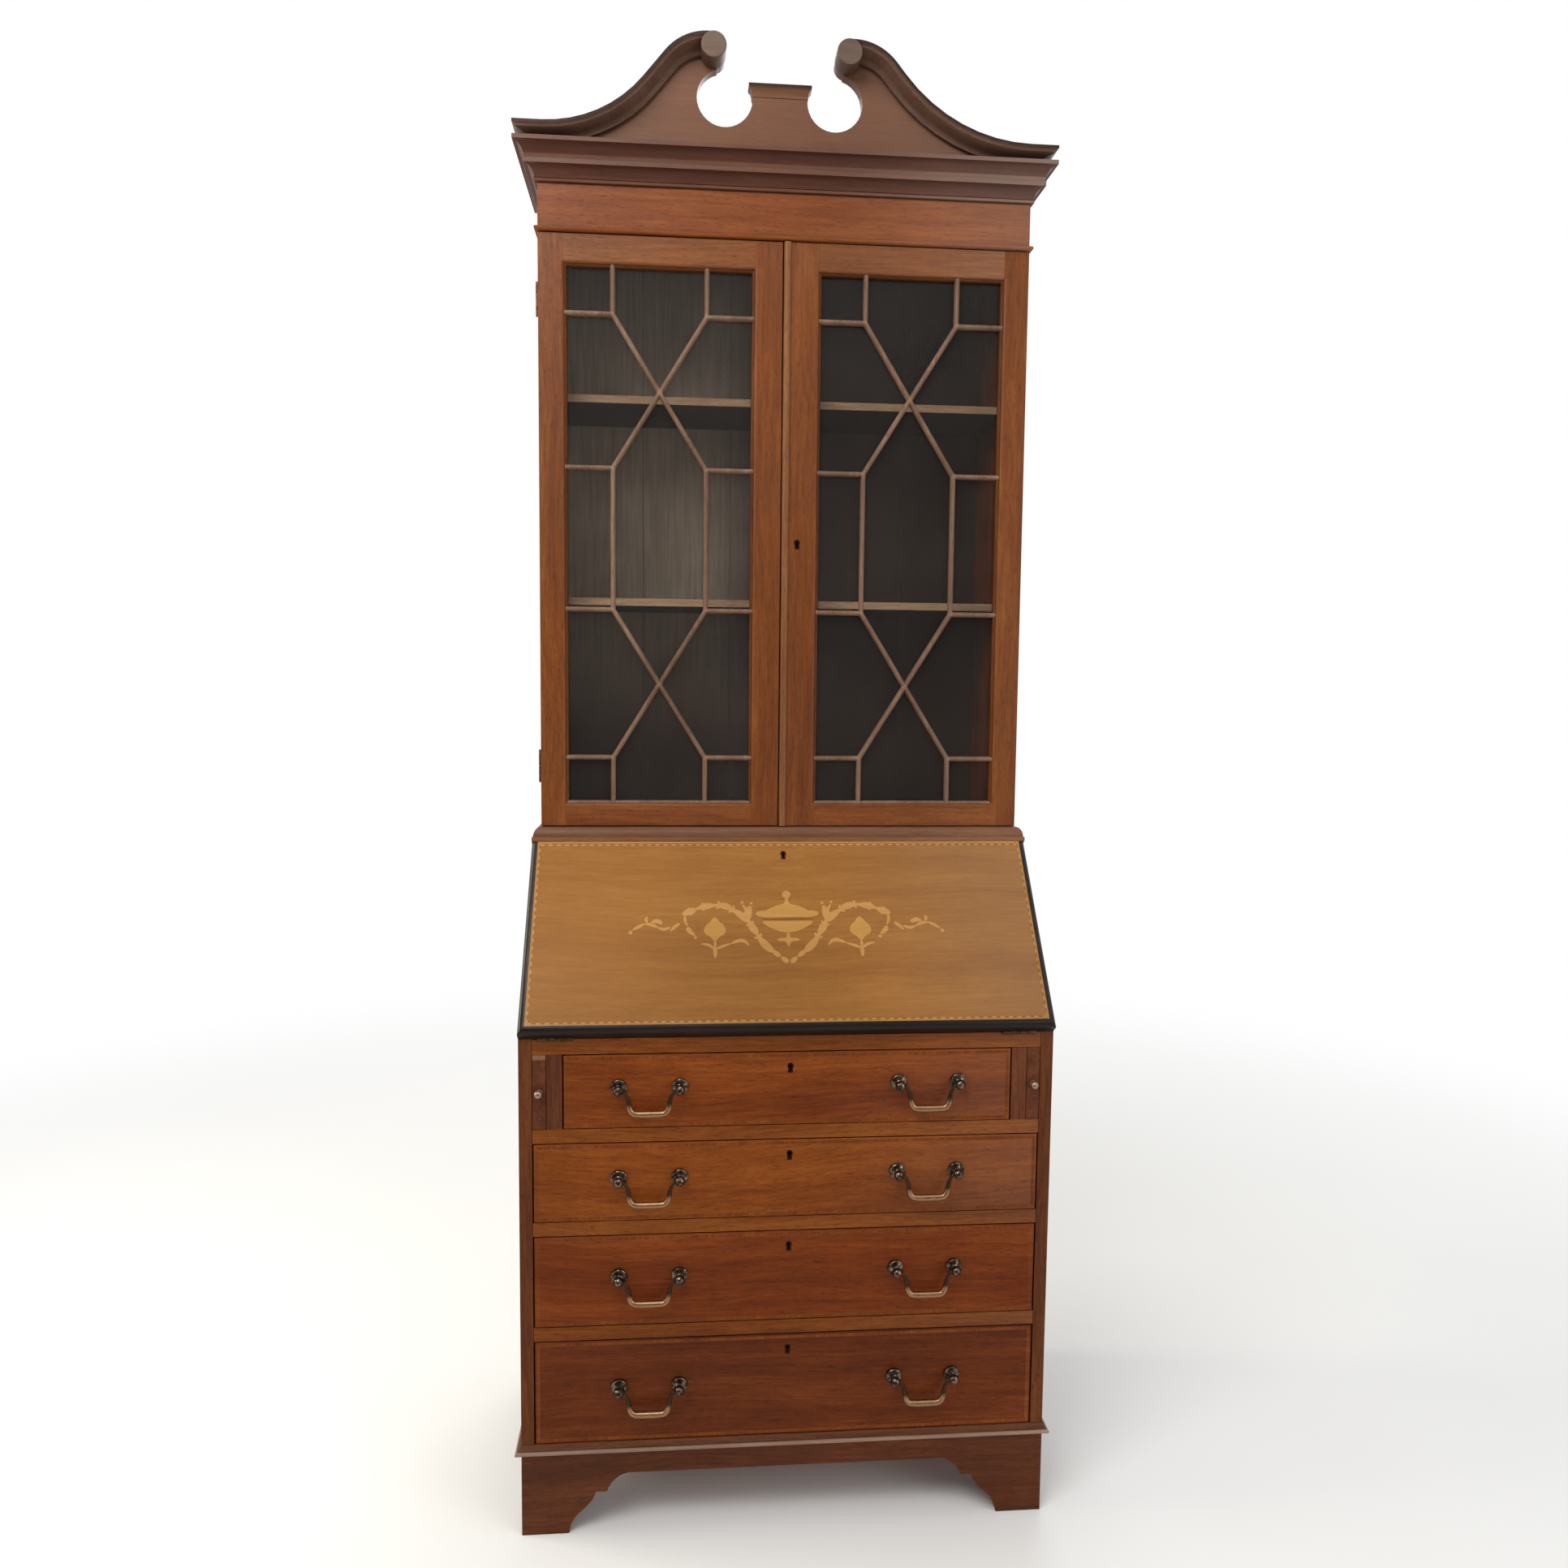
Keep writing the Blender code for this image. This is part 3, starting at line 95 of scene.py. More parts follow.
# Handles and keyholes.
POST_HALF = 0.043
POST_REACH = 0.016
POST_HEAD = 0.0072
BAIL_HALF = 0.031
BAIL_DROP = 0.034
BAIL_LINE = [(44.5, 0), (41, 0), (36, -1.5), (32, -6), (29.5, -13)]
BAIL_LINE += [(28, -21), (26, -28), (21, -33), (11, -34), (0, -34)]
BAIL_THIN = 0.0022
BAIL_GRIP = 0.0049
BAIL_PIN = 0.0024
KEY_RADIUS = 0.0022
KEY_SLOT = 0.0011
KEY_LENGTH = 0.0075
KEY_DEPTH = 0.011
KEY_DOWN = 0.0215
KEY_RIM = 0.0023
DOOR_KEY = (0.0186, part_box("door_right_frame")[0].z + 0.433)


def srgb(red, green, blue):
    """A screen colour, 0 to 255 a channel, as a linear colour."""
    steps = [channel / 255 for channel in (red, green, blue)]
    return tuple(s / 12.92 if s <= 0.04045 else ((s + 0.055) / 1.055) ** 2.4 for s in steps) + (1.0,)


# Materials

# Scales of the grain's bands and pores, how far edges are rubbed, and how far the painted shade reaches
# into corners.
FIGURE = 24.0
PORES = 1150.0
EDGE_REACH = 0.0022
CORNER_SHADE_REACH = 0.016


def blank(name):
    """A new material, its node tree, its main shader and the place on the object."""
    made = bpy.data.materials.new(name)
    made.use_nodes = True
    tree = made.node_tree
    place = add(tree, "TexCoord", {}).outputs["Object"]
    return made, tree, tree.nodes["Principled BSDF"], place


def add(tree, kind, inputs, **settings):
    """A new shader node with its settings, its input values and its links."""
    made = tree.nodes.new("ShaderNode" + kind)
    for key, value in settings.items():
        setattr(made, key, value)
    feed(tree, made, inputs)
    return made


def feed(tree, node, inputs):
    """Gives a node's inputs their values or their links to other nodes."""
    for key, value in inputs.items():
        if isinstance(value, bpy.types.NodeSocket):
            tree.links.new(value, node.inputs[key])
        else:
            node.inputs[key].default_value = value


def noise(tree, vector, scale, detail=3.0, roughness=0.55):
    inputs = {"Vector": vector, "Scale": scale, "Detail": detail, "Roughness": roughness}
    return add(tree, "TexNoise", inputs).outputs["Fac"]


def ranged(tree, value, low, high, start, end):
    """A value between low and high, moved smoothly to between start and end."""
    inputs = {"Value": value, "From Min": low, "From Max": high, "To Min": start, "To Max": end}
    return add(tree, "MapRange", inputs, interpolation_type="SMOOTHSTEP").outputs["Result"]


def maths(tree, operation, first, second):
    return add(tree, "Math", {0: first, 1: second}, operation=operation).outputs[0]


def vectors(tree, operation, first, second):
    return add(tree, "VectorMath", {0: first, 1: second}, operation=operation).outputs[0]


def blended(tree, factor, first, second):
    """Two colours mixed; the factor may come from a node."""
    inputs = {"Factor": factor, "A": first, "B": second}
    return add(tree, "Mix", inputs, data_type="RGBA").outputs["Result"]


def ramp(tree, value, *stops):
    """A colour ramp through (position, colour) stops."""
    made = add(tree, "ValToRGB", {"Fac": value})
    band = made.color_ramp.elements
    while len(band) < len(stops):
        band.new(0.5)
    for element, (position, colour) in zip(band, stops):
        element.position = position
        element.color = colour
    return made.outputs["Color"]


def emboss(tree, shader, height, strength, distance):
    """A fine relief on the surface."""
    bump = add(tree, "Bump", {"Height": height, "Strength": strength, "Distance": distance})
    feed(tree, shader, {"Normal": bump.outputs["Normal"]})


def wood(
    name, dark, ground, light, grain, rough=0.40, pores=0.5, shine=0.14, grime=0.55, wear=0.3, bloom=0.0
):
    """Polished wood: bands and fibres along the grain, open pores, fading, rubbed edges,
    and painted shade that darkens its corners and hollows.

    A painted pale sheen, standing in for a window's reflection, lies towards the right end of the piece.
    """
    made, tree, shader, place = blank(name)
    wander = add(tree, "TexNoise", {"Vector": place, "Scale": 2.3, "Detail": 2.0}).outputs["Color"]
    bent = vectors(tree, "ADD", place, vectors(tree, "MULTIPLY", wander, (0.05, 0.05, 0.05)))
    stretch = [1.0, 1.0, 1.0]
    stretch["XYZ".index(grain)] = 0.055
    along = vectors(tree, "MULTIPLY", bent, stretch)
    bands = noise(tree, along, FIGURE, 5.0, 0.62)
    fibres = noise(tree, along, FIGURE * 11, 3.0, 0.6)
    grains = noise(tree, along, PORES, 1.0)
    fading = noise(tree, place, 3.4, 4.0, 0.5)
    tone = maths(tree, "ADD", maths(tree, "MULTIPLY", bands, 0.62), maths(tree, "MULTIPLY", fibres, 0.38))
    colour = ramp(tree, tone, (0.34, srgb(*dark)), (0.50, srgb(*ground)), (0.66, srgb(*light)))
    open_pores = ranged(tree, grains, 0.56, 0.70, 0.0, pores)
    colour = blended(tree, open_pores, colour, srgb(*[c * 0.45 for c in dark]))
    edges = add(tree, "AmbientOcclusion", {"Distance": EDGE_REACH}, samples=4, inside=True, only_local=True)
    rubbed = ranged(tree, edges.outputs["AO"], 0.40, 0.80, wear, 0.0)
    colour = blended(tree, rubbed, colour, srgb(*[min(c * 1.18, 255) for c in light]))
    # Painted shade: ambient occlusion darkens corners, hollows and the gaps between parts.
    corners = add(tree, "AmbientOcclusion", {"Distance": CORNER_SHADE_REACH}, samples=6)
    painted_corner_shade = ranged(tree, corners.outputs["AO"], 0.20, 0.85, 1.0 - grime, 1.0)
    shade = maths(tree, "MULTIPLY", painted_corner_shade, ranged(tree, fading, 0.30, 0.70, 0.90, 1.10))
    colour = vectors(tree, "MULTIPLY", colour, shade)
    # Painted sheen: a pale grey mixed in towards the right, standing in for a window's reflection.
    across = add(tree, "SeparateXYZ", {"Vector": place}).outputs["X"]
    colour = blended(tree, ranged(tree, across, 0.02, 0.40, 0.0, bloom), colour, srgb(190, 176, 168))
    gloss = ranged(tree, fading, 0.25, 0.75, rough + 0.08, rough - 0.05)
    gloss = maths(tree, "ADD", gloss, maths(tree, "MULTIPLY", open_pores, 0.2))
    feed(tree, shader, {"Base Color": colour, "Roughness": gloss, "Specular IOR Level": shine})
    height = maths(tree, "SUBTRACT", maths(tree, "MULTIPLY", fibres, 0.5), open_pores)
    emboss(tree, shader, height, 0.16, 0.0004)
    return made


def woods(name, dark, ground, light, **more):
    """One wood with its grain along each axis."""
    return {axis: wood(f"{name}_{axis.lower()}", dark, ground, light, axis, **more) for axis in "XYZ"}


def metal(name, bright, dull, tarnish, rough):
    """Old brass: worn bright metal under a patchy brown film."""
    made, tree, shader, place = blank(name)
    film = noise(tree, place, 210.0, 5.0, 0.65)
    specks = noise(tree, place, 900.0, 2.0)
    worn = ranged(tree, film, tarnish - 0.14, tarnish + 0.14, 1.0, 0.0)
    colour = blended(tree, worn, srgb(*dull), srgb(*bright))
    gloss = ranged(tree, film, 0.25, 0.75, rough - 0.08, rough + 0.16)
    feed(tree, shader, {"Base Color": colour, "Metallic": 1.0, "Roughness": gloss})
    emboss(tree, shader, specks, 0.10, 0.0002)
    return made


def bail_metal():
    """Handle brass, dark where it is never touched and rubbed bright along the grip."""
    made, tree, shader, place = blank("bail_brass")
    film = noise(tree, place, 260.0, 4.0, 0.6)
    grip = add(tree, "Attribute", {}, attribute_name="wear").outputs["Fac"]
    worn = ranged(tree, maths(tree, "ADD", grip, maths(tree, "MULTIPLY", film, 0.5)), 0.45, 1.05, 0.0, 1.0)
    colour = blended(tree, worn, srgb(62, 47, 36), srgb(150, 114, 84))
    gloss = ranged(tree, film, 0.25, 0.75, 0.24, 0.42)
    feed(tree, shader, {"Base Color": colour, "Metallic": 1.0, "Roughness": gloss})
    emboss(tree, shader, film, 0.06, 0.0003)
    return made


def window_glass():
    """Old sheet glass: slightly grey, with a thin film of dust."""
    made, tree, shader, place = blank("window_glass")
    dust = noise(tree, place, 9.0, 4.0)
    colour = ramp(tree, dust, (0.35, srgb(202, 192, 184)), (0.70, srgb(216, 206, 198)))
    feed(tree, shader, {"Base Color": colour, "Transmission Weight": 0.988, "IOR": 1.26, "Roughness": 0.0})
    return made


def stain_shade_and_veil():
    """The back's dark stain, deepened as painted shade, with a pale painted reflection at its upper left.
    """
    made, tree, shader, place = blank("stain_shade_and_veil")
    axes = add(tree, "SeparateXYZ", {"Vector": place}).outputs
    left = ranged(tree, axes["X"], -0.14, 0.0, 1.0, 0.0)
    high = ranged(tree, axes["Z"], 1.10, 1.42, 0.0, 1.0)
    fibres = noise(tree, add(tree, "Mapping", {"Vector": place, "Scale": (60, 60, 3)}).outputs[0], 3.0, 5.0)
    patches = ranged(tree, noise(tree, place, 5.0, 3.0), 0.3, 0.7, 0.75, 1.0)
    dark = ramp(tree, fibres, (0.35, srgb(26, 15, 12)), (0.65, srgb(40, 25, 21)))
    pale = ramp(tree, fibres, (0.35, srgb(120, 115, 104)), (0.65, srgb(144, 137, 124)))
    # Painted reflection: the share of the pale veil, at the upper left.
    share = maths(tree, "MULTIPLY", maths(tree, "MULTIPLY", left, high), patches)
    feed(tree, shader, {"Base Color": blended(tree, share, dark, pale), "Roughness": 0.6})
    emboss(tree, shader, fibres, 0.15, 0.0006)
    return made


def leather():
    """A green writing skin with a pebbled grain and rubbed patches."""
    made, tree, shader, place = blank("green_leather")
    rub = noise(tree, place, 9.0, 4.0)
    pebbles = add(tree, "TexVoronoi", {"Vector": place, "Scale": 620.0}).outputs["Distance"]
    colour = ramp(tree, rub, (0.35, srgb(38, 52, 36)), (0.55, srgb(52, 68, 46)), (0.72, srgb(82, 92, 62)))
    feed(tree, shader, {"Base Color": colour, "Roughness": ranged(tree, rub, 0.3, 0.7, 0.62, 0.42)})
    emboss(tree, shader, pebbles, 0.35, 0.0006)
    return made


def painted_hole_shade():
    """Painted shade inside keyholes and screw slots, with a dusty, uneven tone."""
    made, tree, shader, place = blank("keyhole_painted_shade")
    dust = noise(tree, place, 400.0)
    colour = ramp(tree, dust, (0.3, srgb(14, 10, 8)), (0.8, srgb(34, 24, 18)))
    feed(tree, shader, {"Base Color": colour, "Roughness": 0.8})
    return made


CASE = woods("case_mahogany", (96, 46, 11), (121, 63, 17), (143, 81, 28), shine=0.10, bloom=0.03)
SIDE = woods("side_mahogany", (74, 35, 12), (98, 52, 23), (120, 70, 36), shine=0.10)
# Each drawer's veneer differs a little; the bottom two drawers are also painted darker, as shade that falls
# off towards the floor.
FRONTS = {
    1: wood("drawer_1_mahogany", (96, 40, 7), (121, 57, 12), (143, 74, 22), "X", shine=0.10, bloom=0.05),
    2: wood("drawer_2_mahogany", (101, 45, 7), (126, 63, 13), (148, 80, 24), "X", shine=0.10, bloom=0.05),
    3: wood("drawer_3_mahogany", (92, 37, 6), (115, 51, 10), (136, 68, 20), "X", shine=0.10),
    4: wood("drawer_4_mahogany", (77, 32, 6), (97, 43, 11), (117, 58, 20), "X", shine=0.10),
}
BAND = woods("band_mahogany", (96, 43, 11), (116, 57, 16), (136, 73, 26), pores=0.35, shine=0.10)
DOOR = woods("door_mahogany", (93, 44, 11), (115, 60, 18), (135, 78, 30), shine=0.24)
# The doors' top rails are painted paler than the stiles, as sheen from light above.
SHEENED_TOP_RAIL = wood(
    "sheened_top_rail_mahogany", (100, 53, 21), (121, 69, 29), (141, 87, 42), "X", shine=0.24, bloom=0.07
)
FRIEZE = woods("frieze_mahogany", (104, 48, 13), (125, 64, 21), (144, 82, 33), shine=0.22, bloom=0.10)
BEAD = wood("bead_mahogany", (100, 56, 25), (120, 73, 38), (140, 92, 54), "Z", shine=0.2)
# Lit and shaded copies of one mahogany for the cornice: fillets painted paler as lit, with painted sheen,
# and hollows painted dark as shade.
LIT_FILLET = woods(
    "lit_fillet_mahogany", (85, 50, 35), (97, 61, 44), (109, 73, 55), shine=0.3, pores=0.2, bloom=0.18
)
SHADED_COVE = woods("shaded_cove_mahogany", (71, 39, 28), (82, 47, 34), (93, 56, 42), rough=0.42, pores=0.2, bloom=0.07)
CORNICE = woods(
    "cornice_mahogany", (101, 62, 40), (109, 69, 45), (117, 77, 51), shine=0.3, pores=0.2, bloom=0.10
)
HOLLOWED = woods("base_mahogany", (62, 33, 18), (82, 47, 28), (102, 63, 40), grime=0.6)
# The base moulding's nose is painted paler, as a highlight where light falls on it.
LIT_NOSE = woods(
    "lit_nose_mahogany", (118, 88, 70), (138, 108, 89), (156, 128, 108), shine=0.35, pores=0.2, grime=0.2
)
WAIST = woods("waist_mahogany", (90, 57, 36), (108, 71, 48), (126, 86, 60), shine=0.2, pores=0.3)
# The waist moulding's lip is painted paler, as a highlight where light falls on it.
LIT_WAIST_LIP = woods("lit_waist_lip", (108, 69, 43), (126, 83, 54), (144, 99, 68), shine=0.2, pores=0.3, grime=0.3)
SWAN = woods("swan_mahogany", (84, 59, 48), (97, 70, 57), (110, 82, 68), grime=0.35, pores=0.2)
# Painted shade: the front of the swan necks' outer lip and the lip under the pediment's cap.
SHADED_SWAN_EDGE = wood("shaded_swan_edge", (36, 23, 18), (50, 33, 26), (66, 45, 36), "X", pores=0.2)
BOSS = wood("boss_mahogany", (88, 70, 60), (102, 83, 72), (116, 97, 85), "X", pores=0.2, grime=0.2)
LOPER = woods("loper_mahogany", (70, 33, 13), (92, 46, 22), (114, 63, 35))
# Painted highlight: the head of the left loper's front, painted pale as lit.
LIT_LOPER_HEAD = wood("lit_loper_head", (110, 70, 46), (132, 90, 64), (152, 110, 84), "X", grime=0.2)
# The plinth is painted darker than the case, as shade that falls off towards the floor.
PLINTH = woods("plinth_mahogany", (66, 30, 10), (88, 43, 17), (110, 59, 28))
EDGE = woods("ebonised_edge", (16, 9, 6), (30, 18, 12), (48, 29, 19), rough=0.34, shine=0.2, wear=0.5)
BARS = woods("bar_mahogany", (96, 70, 54), (119, 91, 73), (142, 114, 94))
# Painted shade: the border bars at the sides and top of each opening are painted dark.
SHADED_BORDER = woods("shaded_border_mahogany", (70, 34, 11), (88, 46, 17), (106, 60, 26))
OAK = woods("lining_oak", (122, 88, 50), (152, 116, 74), (176, 142, 98), rough=0.62)
PINES = [
    wood("back_pine_light", (112, 80, 48), (128, 94, 58), (144, 108, 70), "Z", rough=0.7, pores=0.2),
    wood("back_pine_mid", (102, 72, 42), (118, 85, 52), (134, 99, 63), "Z", rough=0.7, pores=0.2),
    wood("back_pine_brown", (96, 65, 39), (111, 77, 47), (126, 91, 58), "Z", rough=0.7, pores=0.2),
]
# A dark stain, darkened further to stand in for the shade inside the glazed case.
SHADED_INSIDE = woods("inside_stain_and_shade", (24, 16, 13), (34, 23, 19), (46, 33, 27), rough=0.55)
# Painted highlight: the shelves' front edges are painted pale as lit.
LIT_LIPPING = woods("lit_shelf_lipping", (134, 112, 90), (158, 136, 112), (180, 160, 137))
VENEER = wood(
    "fall_veneer", (131, 82, 30), (143, 93, 36), (155, 105, 46), "X", rough=0.36, pores=0.2, bloom=0.09
)
MARGIN = wood("fall_margin", (148, 104, 54), (162, 117, 67), (175, 131, 81), "X", pores=0.1)
INLAID = {"pores": 0.1, "grime": 0.2}
STRAW = wood("inlay_boxwood", (152, 105, 48), (165, 118, 60), (178, 132, 76), "X", **INLAID)
HONEY = wood("inlay_satinwood", (150, 104, 42), (163, 117, 53), (176, 131, 68), "X", **INLAID)
CHEQUER_LIGHT = wood("stringing_light", (148, 102, 46), (162, 116, 58), (174, 130, 72), "X", **INLAID)
CHEQUER_DARK = wood("stringing_dark", (112, 68, 26), (126, 80, 32), (140, 94, 42), "X", **INLAID)
UMBER = wood("inlay_dark", (78, 44, 14), (102, 60, 22), (126, 78, 34), "X", **INLAID)
END_GRAIN = wood("oak_end_grain", (84, 56, 30), (108, 76, 44), (130, 98, 60), "X", rough=0.62)
BRONZE = metal("bronze", (136, 116, 100), (48, 38, 31), 0.45, 0.22)
KEY_THREAD = metal("key_thread", (84, 48, 31), (46, 26, 17), 0.3, 0.42)
AGED = metal("aged_brass", (128, 98, 68), (66, 48, 34), 0.40, 0.38)
LOCK = metal("lock_brass", (176, 138, 84), (118, 86, 48), 0.55, 0.32)
KNOB = metal("knob_brass", (168, 138, 120), (112, 90, 76), 0.55, 0.36)
IRON = metal("screw_steel", (120, 112, 104), (60, 50, 44), 0.5, 0.42)
STAIN_SHADE_VEIL = stain_shade_and_veil()
GLASS = window_glass()
LEATHER = leather()
BAIL = bail_metal()
GILT = metal("gilt_line", (214, 176, 96), (150, 112, 52), 0.62, 0.36)
HOLE_SHADE = painted_hole_shade()


# Shapes


def at(x, y, z):
    """A move to a place."""
    return Matrix.Translation((x, y, z))


def oblong(low, high):
    """The corners of a rectangle."""
    return [low, (high[0], low[1]), high, (low[0], high[1])]


def meshed(name, shape):
    """A shape as a mesh, with its corners and faces in an order that is the same in each run."""
    shape.verts.sort(key=lambda vert: vert.co.dot(ORDER))
    shape.faces.sort(key=lambda face: face.calc_center_median().dot(ORDER))
    mesh = bpy.data.meshes.new(name)
    shape.to_mesh(mesh)
    shape.free()
    return mesh


def placed(name, data):
    """A new object in the scene."""
    obj = bpy.data.objects.new(name, data)
    bpy.context.scene.collection.objects.link(obj)
    return obj


def piece(name, shape, body, slot, *looks, sharp=38):
    """A finished shape as an object that rides on a body."""
    bmesh.ops.recalc_face_normals(shape, faces=shape.faces)
    mesh = meshed(name, shape)
    for look in looks:
        mesh.materials.append(look)
    mesh.shade_smooth()
    mesh.set_sharp_from_angle(angle=math.radians(sharp))
    obj = placed(name, mesh)
    flat = obj.modifiers.new("flat_faces", "WEIGHTED_NORMAL")
    flat.keep_sharp = True
    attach(obj, body)
    return obj


def copied(node):
    """A node's mesh as one welded shape whose flat faces are whole."""
    shape = bmesh.new()
    shape.from_mesh(frame["nodes"][node].data)
    bmesh.ops.remove_doubles(shape, verts=shape.verts, dist=WELD)
    limit = math.radians(0.4)
    bmesh.ops.dissolve_limit(shape, angle_limit=limit, verts=shape.verts, edges=shape.edges)
    for face in shape.faces:
        face.material_index = 0
    return shape


def split(shape, spot, normal):
    """Adds edges where a plane passes through a shape."""
    parts = [*shape.verts, *shape.edges, *shape.faces]
    bmesh.ops.bisect_plane(shape, geom=parts, plane_co=spot, plane_no=normal)


def each_once(items):
    """The items in their order, without repeats."""
    return list(dict.fromkeys(items))


def rounded(shape, edges, width, segments, clamp=False):
    """Rounds edges of a shape."""
    form = {"profile": 0.5, "affect": "EDGES", "clamp_overlap": clamp}
    bmesh.ops.bevel(shape, geom=edges, offset=width, segments=segments, **form)


def ease(shape, width, segments=2, least=35):
    """Rounds the outer edges that turn by more than the least angle and aren't very short."""
    edges = []
    for edge in shape.edges:
        if len(edge.link_faces) != 2 or edge.calc_length() < SHORT_EDGE:
            continue
        if edge.calc_face_angle_signed() > math.radians(least):
            edges.append(edge)
    rounded(shape, edges, width, segments, True)


def board(shape, low, high, width, index=0):
    """Adds a board with eased edges."""
    low, high = Vector(low), Vector(high)
    made = bmesh.ops.create_cube(shape, size=1.0)["verts"]
    for vert in made:
        vert.co = Vector([(low[i] + high[i]) / 2 + vert.co[i] * (high[i] - low[i]) for i in range(3)])
    for face in each_once(face for vert in made for face in vert.link_faces):
        face.material_index = index
    if width:
        edges = each_once(edge for vert in made for edge in vert.link_edges)
        rounded(shape, edges, width, 2)


def lathe(shape, profile, matrix, steps=32, index=0):
    """Adds a form turned about Z from (radius, height) points."""
    rings = []
    for radius, height in profile:
        count = 1 if radius < WELD else steps
        turns = [math.tau * i / count for i in range(count)]
        points = [Vector((radius * math.cos(a), radius * math.sin(a), height)) for a in turns]
        rings.append([shape.verts.new(matrix @ point) for point in points])
    for near, far in zip(rings, rings[1:]):
        for i in range(steps):
            j = i + 1
            corners = [near[i % len(near)], near[j % len(near)], far[j % len(far)], far[i % len(far)]]
            if len(set(corners)) > 2:
                shape.faces.new(dict.fromkeys(corners)).material_index = index


def loop(shape, outline, height, matrix):
    """New corners along an outline, at a height in a frame."""
    return [shape.verts.new(matrix @ Vector((x, y, height))) for x, y in outline]


def bridge(shape, near, far, index=0):
    """Adds the faces between two closed loops of corners."""
    for i in range(len(near)):
        j = (i + 1) % len(near)
        shape.faces.new((near[i], near[j], far[j], far[i])).material_index = index


def slab(shape, outline, low, high, matrix, index=0):
    """Adds a flat plate with this outline, in a frame whose Z runs through its thickness."""
    lower, upper = [loop(shape, outline, height, matrix) for height in (low, high)]
    for corners in (upper, lower[::-1]):
        shape.faces.new(corners).material_index = index
    bridge(shape, lower, upper, index)


def rim(shape, inner, outer, low, high, matrix, index=0):
    """Adds a flat ring between two outlines that have the same number of points."""
    edges = ((inner, low), (inner, high), (outer, high), (outer, low))
    loops = [loop(shape, outline, height, matrix) for outline, height in edges]
    for near, far in zip(loops, loops[1:] + loops[:1]):
        bridge(shape, near, far, index)


def tube(shape, points, radii, matrix):
    """Adds a round bar that follows points in the XZ plane, thick as its radii say."""
    rings = []
    for i, (x, z) in enumerate(points):
        before, after = points[max(i - 1, 0)], points[min(i + 1, len(points) - 1)]
        along = Vector((after[0] - before[0], 0, after[1] - before[1])).normalized()
        across = along.cross(Vector((0, 1, 0)))
        ring = []
        for side in range(TUBE_SIDES):
            turn = math.tau * side / TUBE_SIDES
            offset = across * math.cos(turn) + Vector((0, 1, 0)) * math.sin(turn)
            ring.append(shape.verts.new(matrix @ (Vector((x, 0, z)) + offset * radii[i])))
        rings.append(ring)
    for near, far in zip(rings, rings[1:]):
        bridge(shape, near, far)
    for ring in (rings[0][::-1], rings[-1]):
        shape.faces.new(ring)


def arc(centre, radius, start, end, steps):
    """Points on a circle between two angles in degrees."""
    turns = [math.radians(start + (end - start) * i / steps) for i in range(steps + 1)]
    return [(centre[0] + radius * math.cos(a), centre[1] + radius * math.sin(a)) for a in turns]


def carve(shape, tool):
    """Cuts a closed tool out of a shape."""
    holders = []
    for name, source in (("carved", shape), ("tool", tool)):
        bmesh.ops.recalc_face_normals(source, faces=source.faces)
        holders.append(placed(name, meshed(name, source)))
    cut = holders[0].modifiers.new("cut", "BOOLEAN")
    cut.object = holders[1]
    cut.operation = "DIFFERENCE"
    cut.solver = "EXACT"
    graph = bpy.context.evaluated_depsgraph_get()
    result = bmesh.new()
    result.from_mesh(holders[0].evaluated_get(graph).to_mesh())
    for obj in holders:
        bpy.data.objects.remove(obj)
    return result


def facing(y):
    """A frame whose X is across, Y up and Z out of the front."""
    return at(0, y, 0) @ Matrix.Rotation(math.pi / 2, 4, "X")


def dress(name, looks, width=0.0008, segments=2, body="carcase", slot="mahogany", **more):
    """A node with eased edges and its looks, the first of them on every face."""
    shape = copied(name)
    ease(shape, width, segments, **more)
    obj = piece(f"{name}_finished", shape, body, slot, *looks)
    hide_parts(name)
    return obj


# Carcase, plinth, bookcase and pediment

CORNICE_BEAD = 0.006
BASE_NOSE = 0.0062
WAIST_FOOT = 0.0061
CAP_X = -0.0135
CAP_HALF = 0.05
CAP_LIP = 0.003
FACE_DEPTH = 0.0008
RETURN_X = 0.36
RETURN_Y = 0.18
NAIL_HEAD = [(0, 0.0006), (0.0016, 0.0005), (0.0022, 0.0001), (0.0022, -0.001), (0, -0.001)]
NAIL_IN = 0.012


def turn_corners(obj):
    """Gives the side returns of a moulding, which face left or right, the second look."""
    for face in obj.data.polygons:
        if abs(face.normal.x) > abs(face.normal.y) + 0.1:
            face.material_index = 1
        elif abs(face.normal.z) > 0.9 and abs(face.center.y) < RETURN_Y and abs(face.center.x) > RETURN_X:
            face.material_index = 1


def make_guide_rail():
    """The rail under the top drawer, whose uprights beside the lopers are of a darker wood."""
    shape = copied("drawer_rail_1")
    ease(shape, 0.0006)
    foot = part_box("loper_left")[0].z
    split(shape, (0, 0, foot), (0, 0, 1))
    for face in shape.faces:
        face.material_index = int(face.calc_center_median().z > foot)
    rail = piece("drawer_rail_1_finished", shape, "carcase", "mahogany", CASE["X"], LOPER["Z"])
    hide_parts("drawer_rail_1")


